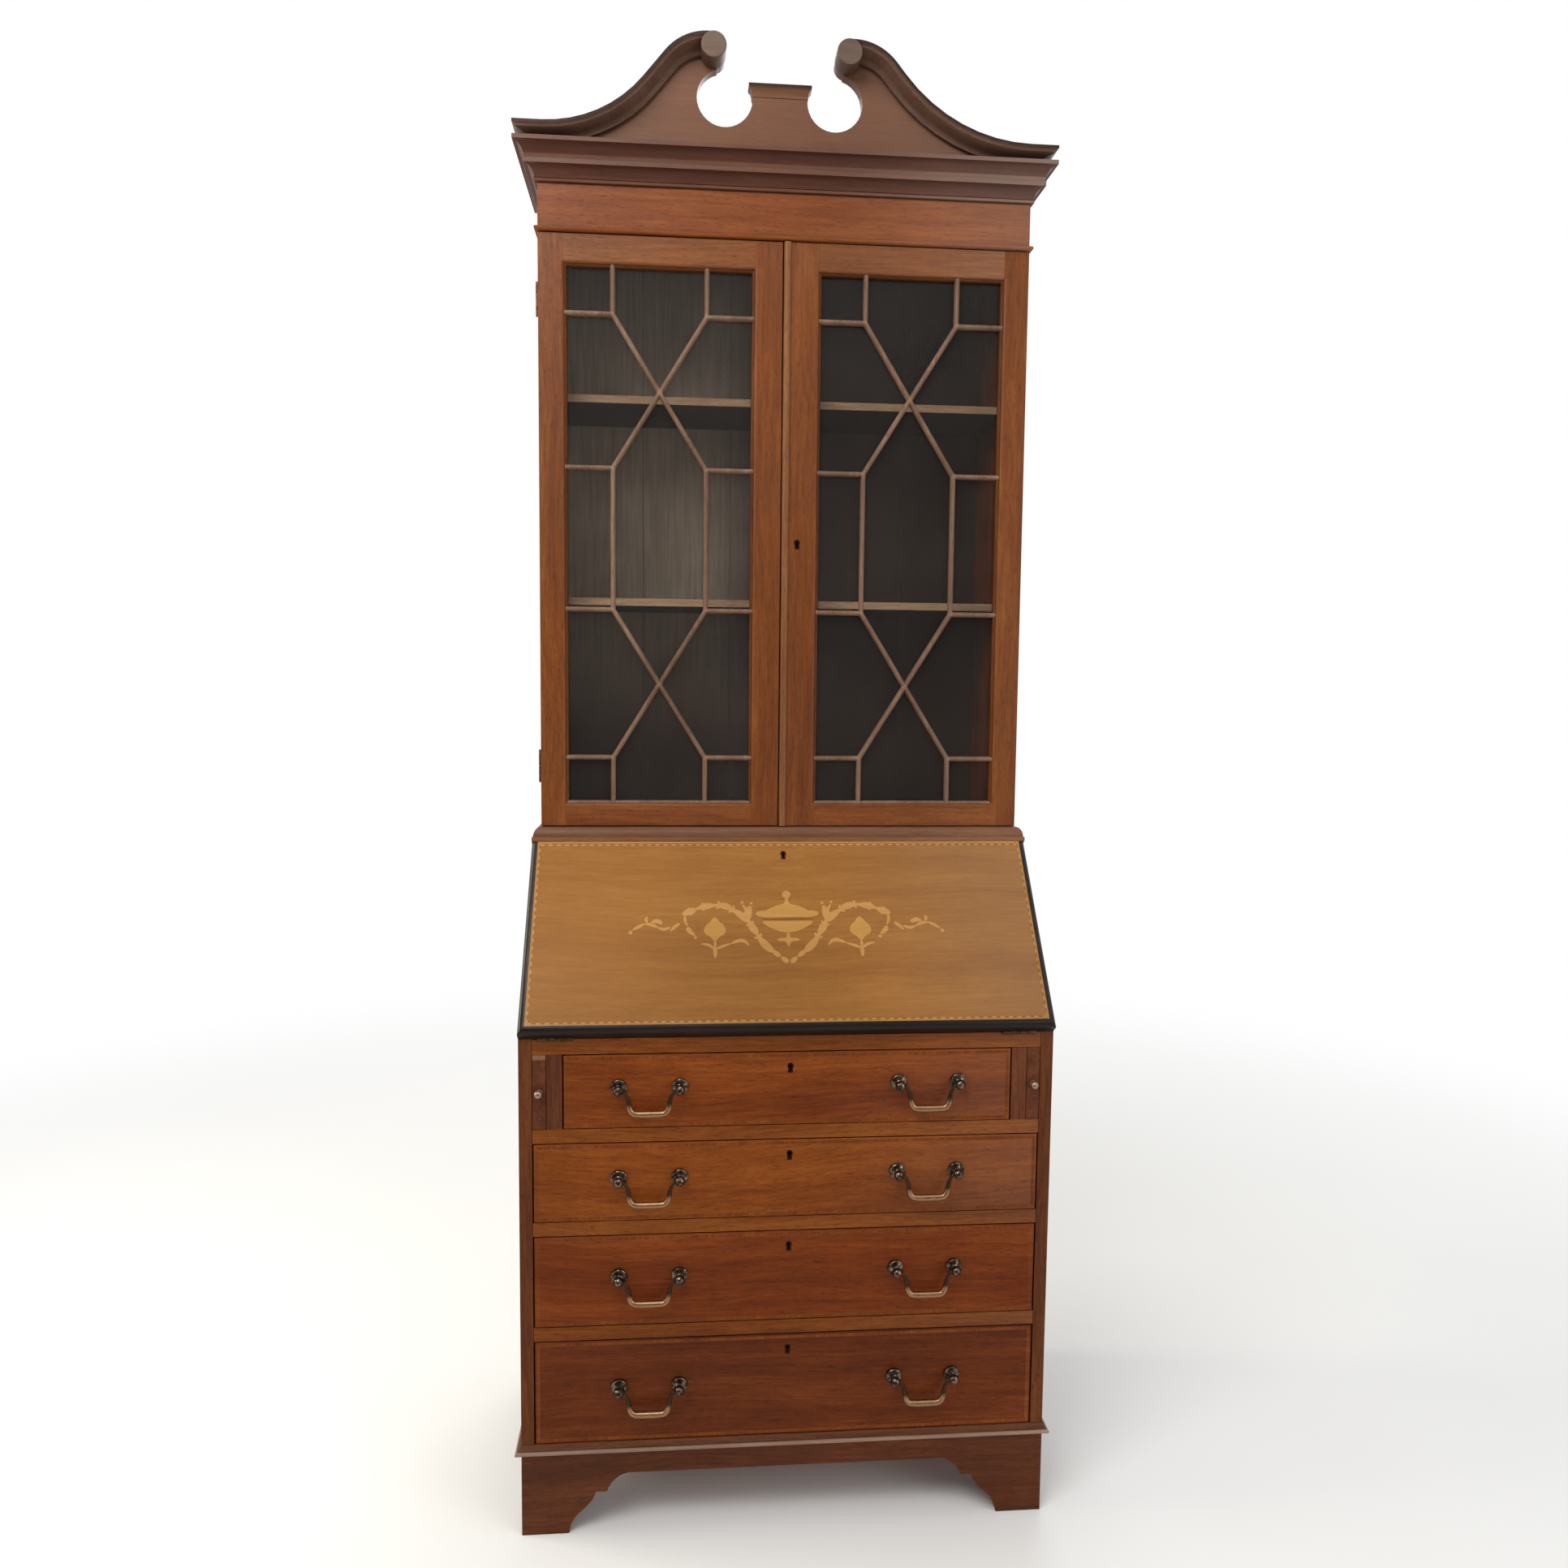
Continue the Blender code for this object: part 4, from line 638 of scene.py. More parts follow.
def make_carcase():
    for side in SIDES:
        dress(f"bureau_side_{side}", [SIDE["Z"]])
        dress(f"bookcase_side_{side}", [SIDE["Z"]])
        dress(f"plinth_{side}", [PLINTH["Y"]], least=50)
    make_guide_rail()
    for name in ("drawer_rail_2", "drawer_rail_3", "bureau_bottom"):
        dress(name, [CASE["X"]], 0.0006)
    for name in ("writing_bed", "bureau_top"):
        dress(name, [CASE["X"]])
    dress("plinth_front", [PLINTH["X"]], least=50)
    make_moulding("base_moulding", HOLLOWED, LIT_NOSE, BASE_NOSE)
    make_moulding("waist_moulding", WAIST, LIT_WAIST_LIP, WAIST_FOOT)
    # Inner faces take the dark stain that also stands in for shade.
    for name in ("bookcase_bottom", "bookcase_top"):
        panel = dress(name, [SHADED_INSIDE["X"], CASE["X"]])
        for face in panel.data.polygons:
            face.material_index = int(face.normal.y > 0.5)
    # Shelves: their front edges are painted pale as lit; the rest takes the dark stain that stands in for
    # shade.
    for level in ("lower", "upper"):
        shelf = dress(f"shelf_{level}", [SHADED_INSIDE["X"], LIT_LIPPING["X"]], 0.0012, 3)
        for face in shelf.data.polygons:
            face.material_index = int(face.normal.y < -0.3)
    turn_corners(dress("frieze", [FRIEZE["X"], FRIEZE["Y"]], 0.0006, slot="door_mahogany"))
    make_cornice()
    make_pediment()
    for side in SIDES:
        make_swan(side)
    dress("pigeonholes", [CASE["Y"]], 0.0006)


def make_pediment():
    """The pediment's board, with the lip under the cap between its scrolls painted dark as shade."""
    pediment = dress("pediment_board", [CORNICE["X"], SHADED_SWAN_EDGE], 0.0005, slot="cornice_mahogany")
    cap = max(v.co.z for v in pediment.data.vertices if abs(v.co.x - CAP_X) < CAP_HALF)
    for face in pediment.data.polygons:
        near = abs(face.center.x - CAP_X) < CAP_HALF and face.center.z > cap - CAP_LIP
        if near and face.normal.z < 0.9:
            face.material_index = 1


def make_moulding(name, upper, lower, height):
    """A moulding whose foot, up to this height, is painted paler, as a highlight where light falls on it.
    """
    looks = [upper["X"], upper["Y"], lower["X"], lower["Y"]]
    moulding = dress(name, looks, 0.0005, least=50)
    turn_corners(moulding)
    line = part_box(name)[0].z + height
    for face in moulding.data.polygons:
        if face.center.z < line and face.normal.z > -0.7:
            face.material_index += 2


def make_swan(side):
    """A swan neck whose outer edge is painted dark as shade, with a paler round face to its scroll."""
    name = f"swan_neck_{side}"
    looks = [SWAN["X"], SWAN["Y"], SHADED_SWAN_EDGE, BOSS]
    neck = dress(name, looks, 0.0006, slot="cornice_mahogany")
    turn_corners(neck)
    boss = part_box(name)[0].y + FACE_DEPTH
    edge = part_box("cornice")[0].y + FACE_DEPTH
    for face in neck.data.polygons:
        if face.center.y < boss:
            face.material_index = 3
        elif face.center.y < edge and face.normal.y < -0.9:
            face.material_index = 2


def make_cornice():
    """Hollows painted dark as shade, between upright fillets and a foot bead painted paler as lit."""
    looks = [SHADED_COVE["X"], SHADED_COVE["Y"], LIT_FILLET["X"], LIT_FILLET["Y"]]
    cornice = dress("cornice", looks, 0.0005, slot="cornice_mahogany")
    turn_corners(cornice)
    bead_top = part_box("cornice")[0].z + CORNICE_BEAD
    for face in cornice.data.polygons:
        upright = abs(face.normal.z) < 0.12
        bead = face.center.z < bead_top and abs(face.normal.z) < 0.6
        if upright or bead:
            face.material_index += 2


def make_backs():
    """Upright pine boards with open joints, nailed at their ends.

    Where the glass shows them they are stained dark, deepened as painted shade, with a pale painted
    reflection.
    """
    for name, count in (("bureau_back", 6), ("bookcase_back", 5)):
        low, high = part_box(name)
        wide = (high.x - low.x) / count
        shape = bmesh.new()
        for i in range(count):
            start = low.x + wide * i
            board(shape, (start, low.y, low.z), (start + wide, high.y, high.z), 0.0016, index=i * 2 % 3)
        if name == "bookcase_back":
            shape.normal_update()
            for face in shape.faces:
                if face.normal.y < -0.5:
                    face.material_index = 4
        turn = Matrix.Rotation(-math.pi / 2, 4, "X")
        for i in range(count):
            for share in (0.25, 0.75):
                for z in (low.z + NAIL_IN, high.z - NAIL_IN):
                    spot = at(low.x + wide * (i + share), high.y, z) @ turn
                    lathe(shape, NAIL_HEAD, spot, 10, index=3)
        looks = [*PINES, IRON, STAIN_SHADE_VEIL]
        obj = piece(f"{name}_boards", shape, "carcase", "mahogany", *looks)
        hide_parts(name)


# Drawers and handles

DRAWER_ROUND = 0.0024
DRAWER_GAP = 0.0015
BAND_WIDTH = 0.0062
LINE_WIDTH = 0.0007
TAILS = {1: 3, 2: 3, 3: 4, 4: 4}
TAIL_LENGTH = 0.011
LOCK_HALF = 0.029
LOCK_HEIGHT = 0.034
LOCK_SCREW_IN = 0.006
LOCK_SCREWS = (-LOCK_HALF + LOCK_SCREW_IN, LOCK_HALF - LOCK_SCREW_IN)
SCREW_HEAD = [(0, 0.00025), (0.0017, 0.00022), (0.0022, 0), (0.0022, -0.0008), (0, -0.0008)]
SCREW_SLOT = oblong((-0.0018, -0.0003), (0.0018, 0.0003))
LOPER_HEAD = 0.007


def keyhole_outline(grow=0.0):
    """A keyhole: a round end over a slot, each grown by this much."""
    radius, half = KEY_RADIUS + grow, KEY_SLOT + grow
    start = math.degrees(math.asin(half / radius))
    ring = arc((0, 0), radius, 270 + start, 630 - start, 22)
    return ring + [(-half, -KEY_LENGTH - grow), (half, -KEY_LENGTH - grow)]


def keyhole_tool(matrix, index):
    tool = bmesh.new()
    slab(tool, keyhole_outline(), -KEY_DEPTH, KEY_DEPTH, matrix, index)
    return tool


def key_rim(name, matrix, body):
    """A thin brass thread round a keyhole."""
    shape = bmesh.new()
    rim(shape, keyhole_outline(), keyhole_outline(KEY_RIM), -0.0008, 0.0003, matrix)
    return piece(name, shape, body, "brass", KEY_THREAD)


def post_profile():
    head = arc((0, POST_REACH), POST_HEAD, 90, -58, 16)
    neck = [(0.0036, 0.0088), (0.0036, 0.0074), (0.0050, 0.0064), (0.0052, 0.0056)]
    rosette = [(0.0076, 0.0048), (0.0100, 0.0038), (0.0104, 0.0030), (0.0114, 0.0025)]
    rosette += [(0.0118, 0.0014), (0.0118, -0.0005), (0, -0.0005)]
    return [(0, head[0][1]), *head[1:], *neck, *rosette]


def bail_path():
    """The bail's middle line from one pin to the other, with its thickness at each point."""
    right = [(x * MM, z * MM) for x, z in spline(BAIL_LINE, 5)]
    points = right + [(-x, z) for x, z in right[-2::-1]]
    radii = []
    for x, z in points:
        depth = min(max(-z / BAIL_DROP, 0.0), 1.0)
        swell = depth**2 * (3 - 2 * depth) * (0.80 + 0.20 * math.cos(math.pi * x / (2 * BAIL_HALF)))
        radii.append(BAIL_THIN + (BAIL_GRIP - BAIL_THIN) * swell)
    return points, radii


def wear_grip(obj, pivot):
    """Marks how much of the bail the hand rubs bright, from its pins to its grip."""
    wear = obj.data.attributes.new("wear", "FLOAT", "POINT")
    for vert, mark in zip(obj.data.vertices, wear.data):
        depth = (pivot.z - vert.co.z) / BAIL_DROP
        mark.value = min(max((depth - 0.45) / 0.4, 0.0), 1.0)


def make_drawer(number):
    """A drawer: its banded front with a keyhole, its box, its lock and its handles."""
    low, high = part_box(f"drawer_{number}_front")
    body = f"drawer_{number}"
    shape = bmesh.new()
    board(shape, (low.x, FRONT, low.z), (high.x, high.y, high.z), 0)
    rounding = each_once(edge for face in shape.faces if face.normal.y < -0.9 for edge in face.edges)
    rounded(shape, rounding, DRAWER_ROUND, 5)
    shape.normal_update()
    front = max((f for f in shape.faces if f.normal.y < -0.99), key=lambda f: f.calc_area())
    band = bmesh.ops.inset_region(shape, faces=[front], thickness=BAND_WIDTH)["faces"]
    line = bmesh.ops.inset_region(shape, faces=[front], thickness=LINE_WIDTH)["faces"]
    for face in band:
        middle = face.calc_center_median()
        level = min(middle.z - low.z, high.z - middle.z) < min(middle.x - low.x, high.x - middle.x)
        face.material_index = 1 if level else 2
    for face in line:
        face.material_index = 3
    key = facing(FRONT) @ at(0, high.z + DRAWER_GAP - KEY_DOWN, 0)
    shape = carve(shape, keyhole_tool(key, 4))
    looks = [FRONTS[number], BAND["Z"], BAND["X"], UMBER, HOLE_SHADE]
    face = piece(f"drawer_{number}_face", shape, body, "mahogany", *looks)
    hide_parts(f"drawer_{number}_front")
    key_rim(f"drawer_{number}_key_rim", key, body)
    dress(f"drawer_{number}_box", [OAK["Y"]], 0.0010, body=body, slot="lining")
    make_dovetails(number, body)
    make_drawer_lock(number, body)
    make_handles(number, body)


def endwise(x, side):
    """A frame on a side face: X runs back on the right side and forward on the left, and Y up."""
    return at(x, 0, 0) @ Matrix(((0, 0, side), (side, 0, 0), (0, 1, 0))).to_4x4()


def make_dovetails(number, body):
    """Lapped dovetails where the oak sides run into the front, and pins of the back in their other ends."""
    low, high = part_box(f"drawer_{number}_box")
    count = TAILS[number]
    pitch = (high.z - low.z) / count
    shape = bmesh.new()
    for side in SIDES.values():
        for i in range(count):
            joints = [(low.z + pitch * (i + 0.5), low.y, low.y - TAIL_LENGTH, 0.26, 0.37)]
            if i:
                joints.append((low.z + pitch * i, high.y - TAIL_LENGTH, high.y, 0.10, 0.16))
            for look, (z, start, end, narrow, wide) in enumerate(joints):
                narrow, wide = narrow * pitch, wide * pitch
                wedge = [(start, z - narrow), (end, z - wide), (end, z + wide), (start, z + narrow)]
                outline = [(side * y, level) for y, level in wedge]
                slab(shape, outline, -0.0002, 0.00015, endwise(side * high.x, side), look)
    piece(f"drawer_{number}_dovetails", shape, body, "lining", OAK["Y"], END_GRAIN)


def screw(shape, place, head, slot, turn):
    """Adds a slotted screw head, its Z out of the plate."""
    lathe(shape, SCREW_HEAD, place, 16, head)
    # The slot takes the painted shade look.
    slab(shape, SCREW_SLOT, 0.0001, 0.00032, place @ Matrix.Rotation(turn, 4, "Z"), slot)


def plate(shape, low, high, thick, place, holes):
    """Adds a thin metal plate with slotted screws at its holes: looks 0, 1 and 2."""
    slab(shape, oblong(low, high), -0.0004, thick, place, 0)
    for i, (x, y) in enumerate(holes):
        screw(shape, place @ at(x, y, thick), 1, 2, 0.4 + 1.1 * i)


def behind(y):
    """A frame on a face that looks back, with X to the left and Y up."""
    return at(0, y, 0) @ Matrix(((-1, 0, 0), (0, 0, 1), (0, 1, 0))).to_4x4()


def make_drawer_lock(number, body):
    """A brass lock let into the back and the upper edge of a drawer front."""
    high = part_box(f"drawer_{number}_front")[1]
    shape = bmesh.new()
    foot, head = high.z - LOCK_HEIGHT, high.z - 0.0012
    holes = [(x, z) for x in LOCK_SCREWS for z in (foot + LOCK_SCREW_IN, head - LOCK_SCREW_IN)]
    plate(shape, (-LOCK_HALF, foot), (LOCK_HALF, head), 0.0009, behind(high.y), holes)
    edge = at(0, 0, high.z)
    middle = high.y - 0.006
    holes = [(x, middle) for x in LOCK_SCREWS]
    plate(shape, (-LOCK_HALF, middle - 0.005), (LOCK_HALF, middle + 0.005), 0.00025, edge, holes)
    piece(f"drawer_{number}_lock", shape, body, "brass", LOCK, IRON, HOLE_SHADE)


def make_handles(number, body):
    """Two handles, each a bail between two turned posts."""
    posts = bmesh.new()
    points, radii = bail_path()
    for name in SIDES:
        node = f"drawer_{number}_bail_{name}"
        low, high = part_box(node)
        pivot = Vector(((low.x + high.x) / 2, (low.y + high.y) / 2, high.z - BAIL_PIN))
        for end in (-1, 1):
            spot = at(pivot.x + end * POST_HALF, pivot.z, 0)
            lathe(posts, post_profile(), facing(FRONT) @ spot)
        shape = bmesh.new()
        tube(shape, points, radii, Matrix.Translation(pivot))
        bail = piece(f"{node}_bar", shape, f"bail_{number}_{name}", "brass", BAIL, sharp=60)
        wear_grip(bail, pivot)
        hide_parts(node)
    piece(f"drawer_{number}_posts", posts, body, "brass", BRONZE)


def knob_profile():
    ball = arc((0, 0.0085), 0.0060, 86, -46, 14)
    neck = [(0.0030, 0.0032), (0.0033, 0.0024)]
    collar = [(0.0050, 0.0018), (0.0053, 0.0010), (0.0053, -0.0005)]
    return [(0, 0.0145), *ball, *neck, *collar, (0, -0.0005)]


def make_lopers():
    """The supports of the fall, the left one with a painted highlight at the head of its front, with their
    knobs.
    """
    for name in SIDES:
        shape = copied(f"loper_{name}")
        ease(shape, 0.0012, 3)
        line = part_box(f"loper_{name}")[1].z - LOPER_HEAD
        split(shape, (0, 0, line), (0, 0, 1))
        shape.normal_update()
        for face in shape.faces:
            if name == "left" and face.normal.y < -0.3 and face.calc_center_median().z > line:
                face.material_index = 1
        bar = piece(f"loper_{name}_bar", shape, f"loper_{name}", "mahogany", LOPER["Y"], LIT_LOPER_HEAD)
        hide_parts(f"loper_{name}")
        low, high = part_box(f"loper_knob_{name}")
        middle = (low + high) / 2
        shape = bmesh.new()
        lathe(shape, knob_profile(), facing(FRONT) @ at(middle.x, middle.z, 0))
        knob = piece(f"loper_{name}_pull", shape, f"loper_{name}", "brass", KNOB)
        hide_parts(f"loper_knob_{name}")


# Fall, its inlay and its hinges

# How deep inlaid woods lie, how far they stand out, and the step between leaves that overlap.
SUNK = 0.0002
INLAY_PROUD = 0.00018
STRING_PROUD = 0.00012
LAYER = 0.000006
# The inlay is drawn in millimetres: to the right of its middle line, and up the slope of the fall.
INLAY_OFF = 1.5
STEM_GAP = 0.05
LID = [(0, 208), (2.6, 206), (2.2, 202), (5, 197), (17, 194), (26, 189.5), (32, 186), (40, 186)]
LID += [(46, 183.5), (47, 180), (43, 177), (33, 175), (0, 175)]
BOWL = [(0, 169), (37, 169), (36, 165), (30, 160.5), (24, 157), (16, 153.5), (11, 151.5)]
BOWL += [(4, 150), (0, 150)]
FOOT = [(0, 149.5), (2.5, 149), (2.2, 144), (4, 141.5), (13, 141), (17, 138.5), (14, 136.5)]
FOOT += [(6, 136), (3, 133), (1.8, 129), (0, 127)]
WAIST_LINE = [(0, 173.2), (38, 172.4), (38, 171), (0, 170.4)]
FINIAL = ((0, 213), 6.4)
BELL = [(0, 176), (4, 173), (7, 168), (12, 164), (15.5, 158), (16, 152), (12.5, 147), (7, 144)]
BELL += [(4, 140), (0, 137)]
BELL_X = 107.5
# Stems as lines cut into so many leaves of this width.
STEMS = [
    ([(2, 102), (9, 108.5), (17, 115), (25, 122)], 2, 7.4),
    ([(23, 119), (38, 135), (48, 152), (56, 166), (58.5, 180), (54, 195)], 3, 11.5),
    ([(58, 178), (60, 186), (66.5, 197)], 1, 5.0),
    ([(57, 168), (77, 185.5), (96, 195), (120, 194), (139, 187.5), (156, 180)], 4, 11.0),
    ([(151, 179), (151, 170), (147, 161)], 1, 4.4),
    ([(147.5, 160), (144, 153), (136, 146)], 1, 7.4),
    ([(107.5, 139), (107.5, 131), (107.5, 123)], 1, 4.0),
    ([(107.5, 127), (107.5, 119), (107.5, 110)], 1, 6.0),
    ([(106, 125), (96, 129), (83, 133.5)], 1, 4.6),
    ([(84, 133), (72, 137.5), (64, 136), (57, 128)], 1, 6.0),
    ([(109, 125), (117, 131), (128, 133)], 1, 4.6),
    ([(159, 166), (166, 160.5), (173, 153)], 1, 5.6),
    ([(172, 160), (182, 157), (192, 160)], 1, 5.2),
    ([(191, 160), (201, 164.5), (211, 165.5)], 1, 5.2),
    ([(210, 165.5), (219, 161), (228, 155)], 1, 5.2),
    ([(184, 166), (192, 170), (201, 168)], 1, 7.0),
    ([(206, 168), (208, 173), (206, 178)], 1, 4.4),
]
# Stems, by their place in that list, that bear so many pairs of small leaves.
SPRIGS = {1: 3, 3: 4}
SPRIG_LENGTH = 10.5
SPRIG_WIDTH = 4.2
SPRIG_TURN = 0.75
STEM_WIDTH = 5.6
BERRIES = [((230, 152), 3.0), ((66.5, 200), 2.2), ((53, 198.5), 2.2), ((136, 143), 2.4)]


def spline(points, steps=8):
    """A smooth line through the points."""
    ends = [points[0], *points, points[-1]]
    line = []
    for i in range(1, len(ends) - 2):
        a, b, c, d = (Vector(p) for p in ends[i - 1 : i + 3])
        for step in range(steps):
            t = step / steps
            pull = 2 * b + (c - a) * t + (2 * a - 5 * b + 4 * c - d) * t**2 + (3 * b - a - 3 * c + d) * t**3
            line.append(pull / 2)
    return line + [Vector(points[-1])]


def leaf(line, width):
    """The outline of a pointed leaf that lies along a line."""
    left, right = [], []
    last = len(line) - 1
    for i, point in enumerate(line[1:-1], 1):
        along = (line[i + 1] - line[i - 1]).normalized()
        across = Vector((-along.y, along.x))
        share = i / last
        half = width / 2 * math.sin(math.pi * share**0.85) ** 0.6
        left.append(point + across * half)
        right.append(point - across * half)
    return [line[0], *left, line[-1], *right[::-1]]


def leaves(points, count, width):
    """A stem cut into pointed leaves, one after another."""
    line = spline(points, 12)
    last = len(line) - 1
    made = []
    for i in range(count):
        start = round(last * i / count)
        end = round(last * (i + 1 - STEM_GAP) / count)
        made.append(leaf(line[start : end + 1], width))
    return made


def sprigs(points, count, length, width):
    """Small pointed leaves that stand out in pairs along a stem."""
    line = spline(points, 12)
    made = []
    for i in range(1, count + 1):
        spot = round((len(line) - 2) * i / (count + 1))
        along = (line[spot + 1] - line[spot]).normalized()
        for turn in (-SPRIG_TURN, SPRIG_TURN):
            aim = Matrix.Rotation(turn, 2) @ along
            curl = Vector((-aim.y, aim.x)) * math.copysign(length * 0.12, -turn)
            middle = line[spot] + aim * length * 0.55 + curl
            made.append(leaf(spline([line[spot], middle, line[spot] + aim * length], 6), width))
    return made


def on_fall(outline, way=1):
    """An outline of the drawing, or its mirror image, in metres on the fall."""
    return [((INLAY_OFF + way * x) * MM, y * MM) for x, y in outline]


def both_sides(outline):
    """A half drawing and its mirror image."""
    return [on_fall(outline), on_fall(outline[::-1], -1)]


def whole(half):
    """A half outline that starts and ends on the middle line, closed by its mirror image."""
    return on_fall([*half, *[(-x, y) for x, y in half[::-1] if x > 0]])


def berry(spot, radius):
    return arc(spot, radius, 0, 345, 23)


def make_inlay():
    """An urn between leafy scrolls, in two pale woods."""
    low, high = FALL_THICK - SUNK, FALL_THICK + INLAY_PROUD
    shape = bmesh.new()
    layers = [leaves(line, count, width) for line, count, width in STEMS]
    for stem, count in SPRIGS.items():
        layers.append(sprigs(STEMS[stem][0], count, SPRIG_LENGTH, SPRIG_WIDTH))
        layers.append([leaf(spline(STEMS[stem][0], 12), STEM_WIDTH)])
    layers.append([berry(*mark) for mark in BERRIES])
    for i, layer in enumerate(layers):
        for outline in layer:
            for half in both_sides(outline):
                slab(shape, half, low, high - LAYER * i, FALL_FRAME, 0)
    bell = [(BELL_X + x, y) for x, y in BELL] + [(BELL_X - x, y) for x, y in BELL[-2:0:-1]]
    for half in both_sides(bell):
        slab(shape, half, low, high, FALL_FRAME, 1)
    for half in (BOWL, LID, FOOT):
        slab(shape, whole(half), low, high, FALL_FRAME, 1)
    slab(shape, whole(WAIST_LINE), low, high, FALL_FRAME, 2)
    slab(shape, on_fall(berry(*FINIAL)), low, high, FALL_FRAME, 0)
    piece("fall_inlay", shape, "fall", "fall_veneer", STRAW, HONEY, UMBER)


def make_stringing():
    """A chequered line of light and dark woods just inside the fall's moulded edge."""
    shape = bmesh.new()
    inset, wide, dash = 0.0135, 0.0022, 0.0062
    low, high = FALL_THICK - SUNK, FALL_THICK + STRING_PROUD
    left, right = -HALF + inset, HALF - inset
    foot, head = FALL_END + inset, FALL_LENGTH - 0.006
    runs = [((left, head), (right, head)), ((left, foot), (right, foot))]
    runs += [((left, foot), (left, head)), ((right, foot), (right, head))]
    for start, end in runs:
        start, end = Vector(start), Vector(end)
        along = (end - start).normalized()
        across = Vector((-along.y, along.x)) * wide / 2
        count = round((end - start).length / dash)
        step = (end - start) / count
        for i in range(count):
            a = start + step * i
            b = a + step
            slab(shape, [a - across, b - across, b + across, a + across], low, high, FALL_FRAME, i % 2)
    piece("fall_stringing", shape, "fall", "fall_veneer", CHEQUER_LIGHT, CHEQUER_DARK)


def make_fall():
    """The fall: its veneered board with a dark moulded edge, and all that is fixed to it."""
    shape = bmesh.new()
    board(shape, (-HALF, FALL_END, FALL_CLEAR), (HALF, FALL_LENGTH, FALL_THICK), 0)
    outer = [e for e in shape.edges if all(v.co.z > FALL_THICK / 2 for v in e.verts)]
    moulded = [e for e in outer if min(v.co.y for v in e.verts) < FALL_LENGTH / 2]
    rounded(shape, moulded, FALL_ROUND, 12)
    shape.normal_update()
    for face in shape.faces:
        if face.normal.z > 0.999:
            face.material_index = 1
        elif face.normal.z > -0.9 and face.normal.y < 0.9:
            face.material_index = 2
    veneer = [f for f in shape.faces if f.material_index == 1]
    for strip in bmesh.ops.inset_region(shape, faces=veneer, thickness=FALL_MARGIN)["faces"]:
        strip.material_index = 4
    for side in SIDES.values():
        groove = bmesh.new()
        start = at(side * FALL_HINGE_X, 0, 0) @ Matrix.Rotation(math.pi / 2, 4, "Y")
        half = HINGE_LENGTH / 2 + FALL_CLEAR
        radius = KNUCKLE_RADIUS + FALL_CLEAR
        lathe(groove, [(0, -half), (radius, -half), (radius, half), (0, half)], start, 24)
        shape = carve(shape, groove)
    key = at(0, FALL_LENGTH - KEY_DOWN, FALL_THICK)
    shape = carve(shape, keyhole_tool(key, 3))
    bmesh.ops.transform(shape, matrix=FALL_FRAME, verts=shape.verts)
    panel = piece("fall_board", shape, "fall", "fall_veneer", CASE["X"], VENEER, EDGE["X"], HOLE_SHADE, MARGIN)
    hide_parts("fall_panel")
    key_rim("fall_key_rim", FALL_FRAME @ key, "fall")
    make_inlay()
    make_stringing()
    make_skin()
    make_fall_hinges()


def make_skin():
    """The writing skin on the inside of the fall, with a gilt line round it."""
    shape = bmesh.new()
    half, foot, head = 0.318, 0.040, 0.270
    slab(shape, oblong((-half, foot), (half, head)), FALL_CLEAR - 0.0004, FALL_CLEAR, FALL_FRAME, 0)
    inset, wide = 0.012, 0.0016
    inner, outer = [
        oblong((-half + gap, foot + gap), (half - gap, head - gap)) for gap in (inset + wide, inset)
    ]
    rim(shape, inner, outer, FALL_CLEAR - 0.0005, FALL_CLEAR - 0.0003, FALL_FRAME, 1)
    piece("fall_skin", shape, "fall", "lining", LEATHER, GILT)


def make_fall_hinges():
    """Hinges with a knuckle and a screwed leaf on the fall and another on the bed, and the fall's lock."""
    inside = FALL_FRAME @ at(0, 0, FALL_CLEAR) @ Matrix.Rotation(math.pi, 4, "Y")
    turn = Matrix.Rotation(math.pi / 2, 4, "Y")
    leaf_foot, leaf_head, leaf_screws, bed_screws = 0.006, 0.028, 0.019, 0.017
    worn, end = KNUCKLE_RADIUS - 0.0003, 0.0004
    for name, side in SIDES.items():
        dress(f"fall_hinge_{name}", [AGED], 0.0002, slot="brass")
        middle = side * FALL_HINGE_X
        near, far = sorted((side * (FALL_HINGE_X - FALL_CLEAR), side * (FALL_HINGE_X - HINGE_LENGTH / 2)))
        knuckle = [(0, near), (worn, near), (KNUCKLE_RADIUS, near + end)]
        knuckle += [(KNUCKLE_RADIUS, far - end), (worn, far), (0, far)]
        shape = bmesh.new()
        lathe(shape, knuckle, FALL_FRAME @ turn, 24)
        low, high = (-middle - HINGE_LENGTH / 2, leaf_foot), (-middle + HINGE_LENGTH / 2, leaf_head)
        plate(shape, low, high, 0.0002, inside, [(-middle + x, leaf_screws) for x in HINGE_SCREWS])
        piece(f"fall_knuckle_{name}", shape, "fall", "brass", AGED, IRON, HOLE_SHADE)
        shape = bmesh.new()
        for x in HINGE_SCREWS:
            screw(shape, at(middle + x, FRONT + bed_screws, BED_Z), 0, 1, 30 * x)
        piece(f"fall_hinge_{name}_screws", shape, "carcase", "brass", IRON, HOLE_SHADE)
    shape = bmesh.new()
    holes = [(x, y) for x in LOCK_SCREWS for y in (0.280, 0.298)]
    plate(shape, (-LOCK_HALF, 0.2745), (LOCK_HALF, 0.3035), 0.00015, inside, holes)
    piece("fall_lock", shape, "fall", "brass", LOCK, IRON, HOLE_SHADE)


# Doors

